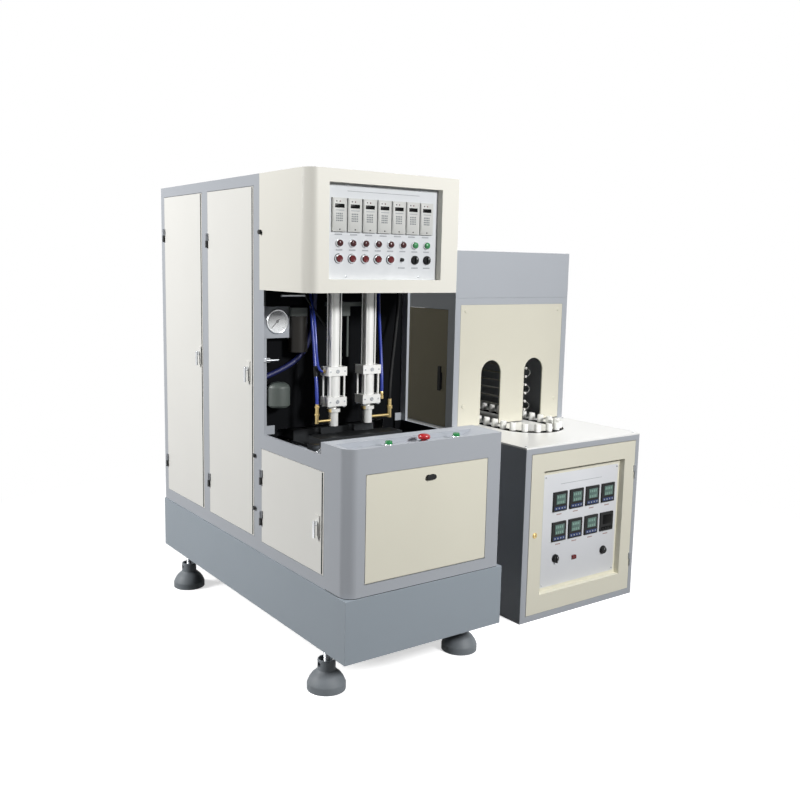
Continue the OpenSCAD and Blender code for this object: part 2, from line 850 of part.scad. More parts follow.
// A sealing cylinder between two blocks, and a stretching cylinder on top of it
module blow_cylinder(x) {
  seal_top = stretch_z - block_h;
  stretch_top = stretch_z + stretch_len;
  y = parting_y;
  hw = block_w / 2;
  hd = block_d / 2;
  difference() {
    union() {
      for (z = [seal_z, seal_top]) {
        slab(x - hw, x + hw, y - hd, y + hd, z, z + block_h);
      }
      rod_z(x, y, seal_z + block_h - 1, seal_top + 1, seal_r);
      corner_rods(x, seal_z + block_h - 1, seal_top + 1, seal_rod_x, 4);
      rod_z(x, y, stretch_z - 1, stretch_top - 25, stretch_r);
      corner_rods(x, stretch_z - 1, stretch_top - 25, stretch_rod_x, 3);
      slab(x - 28, x + 28, y - 26, y + 26, stretch_top - 26, stretch_top);
    }
    rod_z(x, y, seal_z + block_h, seal_top, seal_r - 4);
    rod_z(x, y, seal_z - 1, seal_z + block_h + 1, 11 + fit);
    rod_z(x, y, seal_top - 1, stretch_z + 1, stretch_rod_r + fit);
    rod_z(x, y, stretch_z, stretch_top - 26, stretch_r - 3);
  }
}

module blow_cylinders() {
  color(steel) at_blower() {
    blow_cylinder(mid_x - cavity_x);
    blow_cylinder(mid_x + cavity_x);
  }
}

// The beam in the head that carries the cylinders, and the plate behind them
module cylinder_beam() {
  y = parting_y;
  z0 = head_z + 22;
  z1 = z0 + beam_t;
  back = cabinet_y - 0.2;
  color(steel) at_blower() {
    difference() {
      union() {
        slab(60, 2 * mid_x - 60, y - 40, y + 40, z0, z1);
        slab(mid_x - 90, mid_x + 90, y + 39, back, z0, z1);
      }
      for (s = [-1, 1]) {
        rod_z(mid_x + s * cavity_x, y, z0 - 1, z1 + 1, stretch_r);
        corner_rods(mid_x + s * cavity_x, z0 - 1, z1 + 1, stretch_rod_x, 3.2);
      }
    }
    union() {
      slab(mid_x - 95, mid_x + 95, y + stretch_r + 0.3, y + 56, beam_z, beam_z + beam_t);
      slab(mid_x - 30, mid_x + 30, y + 55, back, beam_z, beam_z + beam_t);
      slab(mid_x - 39, mid_x + 8, y + 25, y + 55, beam_z - 38, beam_z + 1);
      rod_z(mid_x + 2, y + 35, beam_z - 203, beam_z - 37, 5);
    }
  }
}

module blow_nozzle(x) {
  y = parting_y;
  difference() {
    union() {
      rod_z(x, y, nozzle_z, nozzle_z + 58, nozzle_r);
      rod_z(x, y, nozzle_z + 57, nozzle_z + 70, nozzle_r + 8);
      rod_z(x, y, nozzle_z + 69, seal_z + 101, 11);
      rod_z(x, y, seal_z + 80, seal_z + 100, seal_r - 4 - fit);
      children();
    }
    rod_z(x, y, nozzle_z - 1, seal_z + 102, stretch_rod_r + fit);
    rod_z(x, y, nozzle_z - 1, nozzle_z + 26, 13);
  }
}

module blow_nozzle_left() {
  x = mid_x - cavity_x;
  color(white) at_blower() blow_nozzle(x) {
    rod_x(parting_y, pipe_z, x - pipe_left, x - 8, 7);
    rod_z(x - pipe_left, parting_y, nozzle_z + 14, nozzle_z + 92, 8);
    for (z = [nozzle_z + 47, nozzle_z + 78]) {
      rod_z(x - pipe_left, parting_y, z, z + 6, 11);
    }
  }
}

module blow_nozzle_right() {
  x = mid_x + cavity_x;
  color(white) at_blower() blow_nozzle(x) {
    rod_x(parting_y, pipe_z, x + 8, x + pipe_right, 7);
    rod_z(x + pipe_right, parting_y, nozzle_z + 12, nozzle_z + 90, 9);
    rod_z(x + pipe_right, parting_y, nozzle_z + 50, nozzle_z + 62, 13);
  }
}

module stretch_rod(x) {
  rod_z(x, parting_y, nozzle_z + 12, stretch_z + 380, stretch_rod_r);
  rod_z(x, parting_y, stretch_z + 362, stretch_z + 380, stretch_r - 3 - fit);
}

module stretch_rod_left() {
  color(steel) at_blower() union() stretch_rod(mid_x - cavity_x);
}

module stretch_rod_right() {
  color(steel) at_blower() union() stretch_rod(mid_x + cavity_x);
}

// Height at a share of the way from the sill to the gauge's plate
function post_z(share) = sill_z + share * (gauge_z - 65 - sill_z);

// Air service on the left post: the gauge's plate, a stop, a tank and a filter
module air_panel() {
  y1 = cabinet_y - post_w;
  back = cabinet_y - 0.3;
  post_x = inset + bay_t;
  stop_z = post_z(0.777);
  tank_r = 44.7;
  tank_x = inset + 61;
  tank_z = post_z(0.288);
  filter_r = 38.7;
  color(paint) at_blower() {
    difference() {
      slab(inset, gauge_x + 58, y1 - 3, y1, gauge_z - 65, gauge_z + 58);
      rod_y(gauge_x, gauge_z, y1 - 4, y1 + 1, gauge_r - 3.8);
    }
    union() {
      slab(inset, inset + 160, y1 - 14, y1, gauge_z + 60.2, head_z);
      rod_x(y1 - 19, head_z - 20, inset + 65, inset + 170, 6);
    }
    union() {
      slab(inset, inset + 25, y1 - 6, y1, stop_z - 8, stop_z + 8);
      rod_x(y1 - 16, stop_z, inset, inset + 55, 5);
      slab(inset, inset + 9, y1 - 16, y1 - 5, stop_z - 5, stop_z + 5);
    }
    union() {
      translate([tank_x, back - tank_r, tank_z]) rotate_extrude() polygon([
        [0, 0], [tank_r - 8, 0], [tank_r, 8], [tank_r, 76], [tank_r - 5, 88],
        [tank_r - 18, 96], [0, 100]
      ]);
      slab(post_x, post_x + 14, y1, y1 + 20, tank_z + 35, tank_z + 65);
    }
    union() {
      rod_z(inset + 150, back - filter_r, gauge_z - 122, gauge_z + 21, filter_r);
      slab(inset + 107, inset + 180, cabinet_y - 64, back, gauge_z + 20, gauge_z + 53);
    }
    slab(inset + 145, inset + 667, cabinet_y - 60, back, hose_top, hose_top + 36);
  }
}

// The gauge's case sits in its plate, with the rim in front
module pressure_gauge() {
  color(dark) at_blower() union() {
    translate([gauge_x, gauge_face, gauge_z]) rotate([90, 0, 0])
      rotate_extrude() polygon([
        [0, -26], [gauge_r - 4, -26], [gauge_r - 4, 0], [gauge_r, 0], [gauge_r, 5],
        [gauge_r - 2, 7], [gauge_r - 4.5, 7], [gauge_r - 4.5, 0.5], [0, 0.5]
      ]);
    rod_y(gauge_x, gauge_z, gauge_face - 5, gauge_face, 1.5);
  }
}

module gauge_needle() {
  color(dark) at_blower() translate([gauge_x, gauge_face - 1.2, gauge_z])
    rotate([90, 0, 0]) difference() {
      union() {
        cylinder(r = 5, h = 2.6);
        rotate([0, 0, 225]) translate([-12, -1.2, 0.4]) cube([48, 2.4, 1.6]);
      }
      translate([0, 0, -1]) cylinder(r = 1.5 + fit, h = 5);
    }
}

// Hoses held at both ends: four air tubes, the cylinder's line and the wire bundle
module air_hoses() {
  xl = mid_x - cavity_x;
  xr = mid_x + cavity_x;
  hw = block_w / 2;
  y = parting_y;
  back = hose_y;
  top = hose_top;
  port_z = stretch_z - block_h / 2;
  elbow_x = xr + hw + 27;
  elbow_z = seal_z + 18;
  bundle_z = post_z(0.618);
  color(blue) at_blower() {
    hose([[xl - pipe_left, y, nozzle_z + 92], [xl - pipe_left, y, nozzle_z + 208],
      [xl - 48, back, top - 128], [xl - 48, back, top]], 7);
    hose([[xl - hw - 8, y, port_z], [xl - hw - 60, y, port_z],
      [xl - 63, y - 5, top - 168], [xl - 63, back, top - 13]], 5);
    hose([[elbow_x, y, elbow_z + 24], [elbow_x, y, elbow_z + 158],
      [xr + 121, back, top - 158], [xr + 121, back, top]], 5.5);
  }
  color(dark) at_blower() {
    hose([[xl - 91, back, top - 13], [xl - 91, back - 29, top - 98],
      [xl + 33, y + 22, top - 198], [xl + 33, y + 22, stretch_z]], 5);
    hose([[xr + pipe_right, y, nozzle_z + 90], [xr + pipe_right, y, nozzle_z + 228],
      [xr + 228, back, top - 168], [xr + 228, back, top]], 7);
    hose([[xl - 26, back, top], [xl - 26, back, bundle_z + 34],
      [xl - 73, back + 11, bundle_z], [inset + bay_t, back + 11, bundle_z]], 11);
  }
  color(brass) at_blower() {
    rod_x(y, port_z, xl - hw - 8, xl - hw, 7);
    for (x = [xl - 91, xl - 63]) rod_z(x, back, top - 16, top, 7);
    union() {
      rod_x(y, elbow_z, xr + hw, elbow_x, 6);
      rod_z(elbow_x, y, elbow_z - 8, elbow_z + 24, 8);
    }
  }
}

// Doors and locks of the blowing machine
module rear_door() {
  color(cream) at_blower() side_door(inset, mullion_y + mullion_w + door_gap,
    back_post_y - door_gap / 2, cab_door_z0 + door_gap, cab_door_z1 - door_gap,
    rear_hinges, rear_lock_y, rear_lock_z);
}

module front_cabinet_door() {
  color(cream) at_blower() side_door(inset, cabinet_y + front_post + door_gap,
    mullion_y - door_gap / 2, cab_door_z0 + door_gap, cab_door_z1 - door_gap,
    front_hinges, front_lock_y, front_lock_z);
}

module low_side_door() {
  color(cream) at_blower() side_door(inset, low_y0 + door_gap,
    low_y1 - door_gap / 2, low_z0 + door_gap, low_z1 - door_gap,
    low_hinges, low_lock_y, low_lock_z);
}

module rear_lock() {
  color(dark) at_blower() union()
    side_lever(inset, rear_lock_y, rear_lock_z, cab_depth, 55);
}

module front_lock() {
  color(dark) at_blower() union()
    side_lever(inset, front_lock_y, front_lock_z, cab_depth, 54);
}

module low_lock() {
  color(dark) at_blower() union()
    side_lever(inset, low_lock_y, low_lock_z, door_t, 47);
}

// A small oval grip; its cam lies level at rest and turns up behind the frame
module console_lock() {
  y1 = inset + door_t + cam_gap;
  color(dark) at_blower() translate([console_lock_x, 0, console_lock_z]) union() {
    for (x = [-12, 12]) {
      rod_y(x, 0, inset - 10, inset - 2, 10);
    }
    slab(-12, 12, inset - 10, inset - 2, -10, 10);
    rod_y(0, 0, inset - 3, y1 + cam_t, 6);
    slab(-50, 7, y1, y1 + cam_t, -7, 7);
  }
}

// Push buttons and selectors of the head
module push_cap() {
  rotate([90, 0, 0]) rotate_extrude($fn = 28) polygon([
    [0, -15], [stem_r, -15], [stem_r, 4], [cap_r, 4], [cap_r, 11], [cap_r - 1.5, 12.5],
    [0, 12.5]
  ]);
}

module push_button(i) {
  color(red) at_blower() translate([button_x + i * button_pitch, plate_y, button_z])
    push_cap();
}

module selector(i) {
  color(dark) at_blower() translate([select_x + i * select_pitch, plate_y, button_z])
    rotate([90, 0, 0]) union() {
      translate([0, 0, -15]) cylinder(r = stem_r, h = 17, $fn = 28);
      translate([0, 0, 0.3]) cylinder(r = cap_r, h = 9, $fn = 28);
      translate([-4, -cap_r, 8]) cube([8, 2 * cap_r, 9]);
    }
}

module start_button(x) {
  color(green) at_blower() translate([x, desk_y, tray_z])
    rotate_extrude($fn = 28) polygon([
    [0, -15], [stem_r, -15], [stem_r, 4.5], [cap_r, 4.5], [cap_r, 21],
    [cap_r - 2, 23], [0, 23]
  ]);
}

module emergency_stop() {
  r = stop_r;
  s = stop_stem_r;
  color(red) at_blower() translate([stop_x, desk_y, tray_z]) rotate_extrude() polygon([
    [0, -15], [s, -15], [s, 14], [r - 3, 15], [r, 20], [r, 26], [r - 4, 31],
    [r / 2, 33], [0, 33]
  ]);
}

// Heater housing
module heater_body() {
  w = heater_w;
  d = heater_d;
  z1 = table_z - table_t;
  color(cream) at_heater() difference() {
    union() {
      difference() {
        slab(0, w, 0, d, 0, z1);
        slab(oven_t, w - oven_t, door_t, d - oven_t, oven_t, z1 + 1);
        slab(jamb, hdoor_x1, -1, door_t + 1, hdoor_z0 - door_gap,
             hdoor_z1 + door_gap);
      }
      for (y = [turn_y + 20, turn_y + row_len / 3, turn_end - row_len / 3, turn_end + 20]) {
        slab(oven_t - 1, w - oven_t + 1, y, y + 30, track_z - 30, track_z);
        slab(hmid - 20, hmid + 20, y, y + 30, track_z - 1, z1);
      }
      for (x = [1, w - 41]) {
        slab(x, x + 40, door_t, d - 1, z1 - 12, z1);
      }
    }
    for (i = [0:5], z = [track_z - 233, track_z - 173]) {
      slab(w - oven_t - 1, w + 1, oven_set + 60 * i, oven_set + 40 + 60 * i, z, z + 12);
    }
  }
}

// A race-track shape in plan, at distance r from its middle line
module race_track(r) {
  translate([hmid, turn_y]) circle(r = r, $fn = 64);
  translate([hmid, turn_end]) circle(r = r, $fn = 64);
  translate([hmid - r, turn_y]) square([2 * r, row_len]);
}

module race_band(r0, r1, z0, z1) {
  translate([0, 0, z0]) linear_extrude(z1 - z0) difference() {
    race_track(r1);
    race_track(r0);
  }
}

module heater_table() {
  color(steel) at_heater() {
    difference() {
      slab(0, heater_w, 0, heater_d, table_z - table_t, table_z);
      translate([0, 0, table_z - table_t - 1]) linear_extrude(table_t + 2)
        race_track(row_x + slot_half);
    }
    translate([0, 0, table_z - table_t]) linear_extrude(table_t)
      race_track(row_x - slot_half);
  }
}

// Place on the loop's middle line, s along it from the front of the left row
function loop_point(s) =
  s < row_len ? [hmid - row_x, turn_y + s]
  : s < loop_len / 2 ? turn_point(turn_end, 180 - loop_angle(s - row_len))
  : s < loop_len / 2 + row_len ? [hmid + row_x, turn_end - s + loop_len / 2]
  : turn_point(turn_y, -loop_angle(s - row_len - loop_len / 2));
function loop_angle(s) = s / row_x * 180 / PI;
function turn_point(y, a) = [hmid + row_x * cos(a), y + row_x * sin(a)];

// A pin with a cup for the neck of one preform
module carrier() {
  rotate_extrude($fn = 18) polygon([
    [0, track_z + 18], [5, track_z + 18], [5, table_z + 1], [cup_r, table_z + 1],
    [cup_r, table_z + 34], [cup_r - 2, table_z + 38], [cup_r - 6.5, table_z + 38],
    [cup_r - 6.5, table_z + 30], [0, table_z + 30]
  ]);
}

// The guide, the chain and the plates in the table's slot, with the carriers on them
module carrier_loop() {
  color(white) at_heater() {
    race_band(row_x - 13, row_x + 13, track_z, track_z + 6);
    race_band(row_x - 7, row_x + 7, track_z + 5, track_z + 19);
    race_band(row_x - 12, row_x + 12, table_z - 4, table_z + 2);
    for (i = [0:carrier_count - 1]) {
      translate(loop_point((i + 0.33) * loop_len / carrier_count)) carrier();
    }
  }
}

// Oven
module arch_shape() {
  for (s = [-1, 1]) {
    translate([hmid + s * arch_x - 5, 0]) {
      translate([-arch_w / 2, table_z - 1]) square([arch_w, arch_top - arch_w / 2
        - table_z + 1]);
      translate([0, arch_top - arch_w / 2]) circle(r = arch_w / 2, $fn = 48);
    }
  }
}

module oven_shell() {
  w = heater_w;
  t = oven_t;
  y0 = oven_set;
  color(paint) at_heater() difference() {
    union() {
      difference() {
        slab(0, w, y0, heater_d, table_z, oven_top);
        slab(t, w - t, y0 + t, heater_d - t, table_z - 1, oven_top - t);
      }
      slab(1, jamb, y0 + 1, y0 + 40, table_z, oven_top - 1);
      slab(w - jamb, w - 1, y0 + 1, y0 + 40, table_z, oven_top - 1);
    }
    slab(jamb - 1, w - jamb + 1, y0 - 1, y0 + t + 1, table_z - 1, table_z + 588.3);
    slab(-1, t + 30, side_y0, side_y1, side_z0 - door_gap, side_z1 + door_gap);
    slab(-1, w + 1, y0 - 1, y0 + 1.5, oven_top - 221, oven_top - 219);
    for (x = [180, 400], i = [0:6]) {
      slab(x, x + 160, heater_d - t - 1, heater_d + 1, oven_top - 435 + 20 * i,
           oven_top - 427 + 20 * i);
    }
  }
}

module oven_front_panel() {
  color(cream) at_heater() difference() {
    union() {
      slab(jamb, heater_w - jamb, oven_set, oven_set + 8, table_z + 6, table_z + 588);
      for (x = [64, heater_w - 64], z = [table_z + 105, table_z + 561]) {
        rod_y(x, z, oven_set - 3, oven_set + 1, 8);
      }
    }
    translate([0, oven_set + 9, 0]) rotate([90, 0, 0]) linear_extrude(10) arch_shape();
  }
}

// A bank of lamps between two end plates, on the left of a preform row
module lamp_bank(x) {
  y0 = oven_set + 40;
  y1 = heater_d - 60;
  for (y = [y0 + 6, y1 - 7]) {
    difference() {
      slab(x - 9, x + 9, y, y + 6, table_z, arch_top + 40);
      for (z = lamp_bar_z) {
        rod_y(x, z, y - 1, y + 7, 6);
      }
    }
  }
  for (z = lamp_bar_z) {
    union() {
      rod_y(x, z, y0 - 16, y0 + 30, 6);
      rod_y(x, z, y0 + 29, y1 - 29, 4.5);
      rod_y(x, z, y1 - 30, y1 + 10, 6);
    }
  }
}

module oven_lamps() {
  color(white) at_heater() {
    lamp_bank(hmid - arch_x - 60);
    lamp_bank(hmid + arch_x - 30);
  }
}

module oven_side_door() {
  color(cream) at_heater() union() {
    side_door(0, side_y0 + door_gap, side_y1 - door_gap / 2, side_z0, side_z1,
              oven_hinges, oven_lock_y, oven_lock_z);
    rod_x(oven_lock_y, oven_lock_z, -3, 3, 6);
    slab(-8, 0, oven_lock_y - 9, oven_lock_y + 9, oven_lock_z - 58, oven_lock_z + 58);
  }
}

module heater_door() {
  x0 = jamb + door_gap;
  x1 = hdoor_x1 - door_gap;
  lock_z = heater_lock_z;
  t = door_t;
  color(cream) at_heater() difference() {
    union() {
      slab(x0, x1, 0, t, hdoor_z0, hdoor_z1);
      slab(panel_x0 - 4, panel_x1 + 4, 1, recess + 4, panel_z0 - 4, panel_z1 + 4);
      for (z = heater_hinges) {
        front_knuckle(hdoor_x1, -axis_out, z + 0.5, z + knuckle_h, -1,
                      hinge_pin_r + fit);
      }
    }
    slab(panel_x0, panel_x1, -1, recess, panel_z0, panel_z1);
    for (c = [0:3], z = controller_z) {
      x = controller_x + c * controller_pitch;
      slab(x + 2, x + controller_w - 2, recess - 1, recess + 5, z + 3,
           z + controller_h - 3);
    }
    for (p = [[knob_x, knob_z], [switch_x, switch_z]]) {
      rod_y(p[0], p[1], recess - 1, recess + 5, 4 + fit);
    }
    slab(rocker_x - 14, rocker_x + 14, recess - 1, recess + 5, rocker_z - 11,
         rocker_z + 11);
    rod_y(heater_lock_x, lock_z, -1, t + 1, 8 + fit);
    for (z = heater_hinges) {
      rod_z(hdoor_x1, -axis_out, z, z + knuckle_h + 1, hinge_pin_r + fit);
    }
    slab(x0 + 25, panel_x0 - 35, 3, t + 1, hdoor_z0 + 30, lock_z - 66);
    slab(x0 + 25, panel_x0 - 35, 3, t + 1, lock_z + 54, hdoor_z1 - 30);
  }
}

module controllers() {
  color(dark) at_heater() for (c = [0:3], z = controller_z) {
    x = controller_x + c * controller_pitch;
    union() {
      slab(x, x + controller_w, recess - 9, recess, z, z + controller_h);
      slab(x + 3, x + controller_w - 3, recess - 1, recess + 70, z + 4,
           z + controller_h - 4);
    }
  }
}

// A turning knob on the heater's plate; its shaft runs through the plate
module heater_dial(x, z, r, bar) {
  translate([x, recess, z]) rotate([90, 0, 0]) union() {
    translate([0, 0, -8]) cylinder(r = 4, h = 10, $fn = 24);
    translate([0, 0, -12]) cylinder(r = 9, h = 7.8, $fn = 24);
    translate([0, 0, 0.2]) cylinder(r = r, h = 8, $fn = 28);
    translate([0, 0, 7]) cylinder(r = r * 0.78, h = 9, $fn = 28);
    if (bar) {
      translate([-4, -r, 8]) cube([8, 2 * r, 12]);
    }
  }
}

module heater_knob() {
  color(dark) at_heater() heater_dial(knob_x, knob_z, 20, false);
}

module heater_switch() {
  color(dark) at_heater() heater_dial(switch_x, switch_z, 19, true);
}

module heater_rocker() {
  color(red) at_heater() translate([rocker_x, recess, rocker_z]) rotate([0, 90, 0])
    translate([0, 0, -13]) intersection() {
      cylinder(r = 10.8, h = 26, $fn = 48);
      translate([-10.8, -9, -1]) cube([21.6, 18, 28]);
    }
}

// A round key lock with its cam behind the door
module heater_lock() {
  y1 = door_t + cam_gap;
  color(dark) at_heater() translate([heater_lock_x, 0, heater_lock_z]) difference() {
    union() {
      rod_y(0, 0, -2.2, -0.2, 13);
      rod_y(0, 0, -4.2, -0.2, 10);
      rod_y(0, 0, -1, y1 + cam_t, 8);
      slab(-7, 7, y1, y1 + cam_t, -42, 7);
    }
    slab(-1, 1, -5, -1.2, -4, 4);
  }
}

base_plinth();
foot_pads();
foot_studs();
cabinet_frame();
cabinet_panels();
bay_frame();
console_shell();
head_cover();
instrument_plate();
timer_modules();
pilot_lamps();
control_bezels();
hinge_pins();
front_mould_half();
rear_mould_half();
fixed_platens();
moving_platen();
tie_bars();
clamp_cylinder();
cylinder_beam();
blow_cylinders();
blow_nozzle_left();
blow_nozzle_right();
stretch_rod_left();
stretch_rod_right();
air_panel();
pressure_gauge();
gauge_needle();
air_hoses();
rear_door();
front_cabinet_door();
low_side_door();
console_door();
rear_lock();
front_lock();
low_lock();
console_lock();
push_button(0);  // push_button_1
push_button(1);  // push_button_2
push_button(2);  // push_button_3
push_button(3);  // push_button_4
push_button(4);  // push_button_5
selector(0);  // selector_1
selector(1);  // selector_2
start_button(start_x[0]);  // start_button_left
start_button(start_x[1]);  // start_button_right
emergency_stop();
heater_body();
heater_table();
oven_shell();
oven_front_panel();
carrier_loop();
oven_lamps();
heater_door();
controllers();
oven_side_door();
heater_knob();
heater_switch();
heater_rocker();
heater_lock();
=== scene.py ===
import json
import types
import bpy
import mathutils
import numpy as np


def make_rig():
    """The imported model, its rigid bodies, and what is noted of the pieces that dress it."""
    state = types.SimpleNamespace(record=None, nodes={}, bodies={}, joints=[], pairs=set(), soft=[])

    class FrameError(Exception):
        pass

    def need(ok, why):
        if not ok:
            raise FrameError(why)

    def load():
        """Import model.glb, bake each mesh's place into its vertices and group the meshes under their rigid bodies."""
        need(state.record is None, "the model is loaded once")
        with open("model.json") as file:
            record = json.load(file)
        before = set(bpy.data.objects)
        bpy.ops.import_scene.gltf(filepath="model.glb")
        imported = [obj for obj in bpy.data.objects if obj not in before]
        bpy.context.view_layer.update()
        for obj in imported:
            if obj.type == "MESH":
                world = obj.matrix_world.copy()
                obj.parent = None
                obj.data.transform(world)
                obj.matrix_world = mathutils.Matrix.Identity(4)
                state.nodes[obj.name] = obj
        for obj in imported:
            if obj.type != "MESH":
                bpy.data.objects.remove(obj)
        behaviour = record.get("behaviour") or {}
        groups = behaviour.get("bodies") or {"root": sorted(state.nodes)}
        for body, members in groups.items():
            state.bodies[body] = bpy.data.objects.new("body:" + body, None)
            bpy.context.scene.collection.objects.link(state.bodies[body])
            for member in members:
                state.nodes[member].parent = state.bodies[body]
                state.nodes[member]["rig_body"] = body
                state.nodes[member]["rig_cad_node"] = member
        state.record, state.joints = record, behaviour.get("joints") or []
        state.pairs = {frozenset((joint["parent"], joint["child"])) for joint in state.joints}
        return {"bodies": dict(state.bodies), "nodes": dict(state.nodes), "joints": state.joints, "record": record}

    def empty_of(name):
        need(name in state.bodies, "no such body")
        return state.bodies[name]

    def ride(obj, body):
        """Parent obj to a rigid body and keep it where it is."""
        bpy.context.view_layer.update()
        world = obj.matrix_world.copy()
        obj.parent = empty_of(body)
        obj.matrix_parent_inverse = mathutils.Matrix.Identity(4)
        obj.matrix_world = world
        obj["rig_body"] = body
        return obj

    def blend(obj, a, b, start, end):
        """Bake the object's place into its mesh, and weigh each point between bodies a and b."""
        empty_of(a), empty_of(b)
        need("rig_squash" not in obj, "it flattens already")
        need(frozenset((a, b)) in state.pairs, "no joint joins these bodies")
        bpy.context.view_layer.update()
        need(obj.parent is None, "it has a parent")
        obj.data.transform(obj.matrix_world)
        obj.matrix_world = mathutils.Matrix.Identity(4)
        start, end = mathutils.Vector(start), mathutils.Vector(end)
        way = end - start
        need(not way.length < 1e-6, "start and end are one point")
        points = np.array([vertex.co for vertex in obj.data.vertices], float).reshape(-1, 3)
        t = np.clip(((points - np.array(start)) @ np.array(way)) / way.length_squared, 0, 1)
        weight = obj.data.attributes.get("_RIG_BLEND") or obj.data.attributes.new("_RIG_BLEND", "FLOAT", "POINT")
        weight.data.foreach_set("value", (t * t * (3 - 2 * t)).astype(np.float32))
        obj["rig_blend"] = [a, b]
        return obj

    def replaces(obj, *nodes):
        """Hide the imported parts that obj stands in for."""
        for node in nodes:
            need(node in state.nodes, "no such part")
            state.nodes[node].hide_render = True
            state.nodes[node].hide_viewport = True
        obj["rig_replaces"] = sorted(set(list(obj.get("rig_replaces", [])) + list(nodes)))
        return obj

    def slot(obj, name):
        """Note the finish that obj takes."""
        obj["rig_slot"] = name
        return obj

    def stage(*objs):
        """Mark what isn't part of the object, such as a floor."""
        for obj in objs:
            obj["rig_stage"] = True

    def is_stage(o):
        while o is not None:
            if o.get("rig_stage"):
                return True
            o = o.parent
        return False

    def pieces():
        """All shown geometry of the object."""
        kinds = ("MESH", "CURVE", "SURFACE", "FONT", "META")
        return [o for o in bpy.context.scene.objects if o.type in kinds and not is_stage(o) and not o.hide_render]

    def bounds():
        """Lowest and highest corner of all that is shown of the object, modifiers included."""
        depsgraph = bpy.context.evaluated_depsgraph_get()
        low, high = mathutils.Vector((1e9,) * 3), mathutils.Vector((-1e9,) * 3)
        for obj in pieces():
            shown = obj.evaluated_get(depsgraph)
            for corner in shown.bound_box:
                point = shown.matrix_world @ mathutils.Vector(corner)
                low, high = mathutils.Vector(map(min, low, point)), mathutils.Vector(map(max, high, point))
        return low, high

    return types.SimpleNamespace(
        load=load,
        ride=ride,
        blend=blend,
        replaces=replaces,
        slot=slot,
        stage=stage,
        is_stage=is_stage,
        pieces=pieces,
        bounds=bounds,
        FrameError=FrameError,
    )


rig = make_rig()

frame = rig.load()

import json
import logging
import math
from contextlib import contextmanager
from dataclasses import dataclass, replace
from enum import Enum
from typing import Callable, Iterator, Sequence

import bmesh
import bpy
from mathutils import Matrix, Vector

LOG = logging.getLogger("blow_moulding_set")
CAD_BOX = [[round(v, 6) for v in corner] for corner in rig.bounds()]
# Millimetres in a metre
MM = 1000
Point = tuple[float, float, float]
Profile = Sequence[tuple[float, float]]
Obj = bpy.types.Object
Tree = bpy.types.NodeTree


class Axis(Enum):
    """The way in which a turned piece grows from its foot."""

    UP = (0.0, 0.0, 0.0)
    DOWN = (math.pi, 0.0, 0.0)
    FRONT = (math.pi / 2, 0.0, 0.0)
    BACK = (-math.pi / 2, 0.0, 0.0)
    RIGHT = (0.0, math.pi / 2, 0.0)
    LEFT = (0.0, -math.pi / 2, 0.0)


# ---- finishes ----


def linear(text: str) -> tuple[float, float, float, float]:
    """Turns an sRGB hex colour into a linear one.

    Args:
        text: the colour, such as "#A3A9B5".

    Returns:
        Red, green, blue and alpha, linear.
    """
    parts = [int(text[i : i + 2], 16) / 255 for i in (1, 3, 5)]
    red, green, blue = (
        c / 12.92 if c <= 0.04045 else ((c + 0.055) / 1.055) ** 2.4 for c in parts
    )
    return red, green, blue, 1.0


def add_node(
    tree: Tree,
    kind: str,
    settings: dict | None = None,
    links: dict | None = None,
) -> bpy.types.Node:
    """Adds one shader node with its settings and its links.

    Args:
        tree: the material's or the world's node tree.
        kind: the node's type name after ShaderNode.
        settings: input names or numbers, and attributes, with their values.
        links: input names or numbers, with the sockets that feed them.

    Returns:
        The new node.
    """
    made = tree.nodes.new("ShaderNode" + kind)
    for key, value in (settings or {}).items():
        if isinstance(key, int) or key in made.inputs:
            made.inputs[key].default_value = value
        else:
            setattr(made, key, value)
    for key, socket in (links or {}).items():
        tree.links.new(socket, made.inputs[key])
    return made


def empty_tree(owner: bpy.types.Material | bpy.types.World) -> Tree:
    """Switches an owner's nodes on and clears them.

    Args:
        owner: the material or the world.

    Returns:
        Its empty node tree.
    """
    owner.use_nodes = True
    owner.node_tree.nodes.clear()
    return owner.node_tree


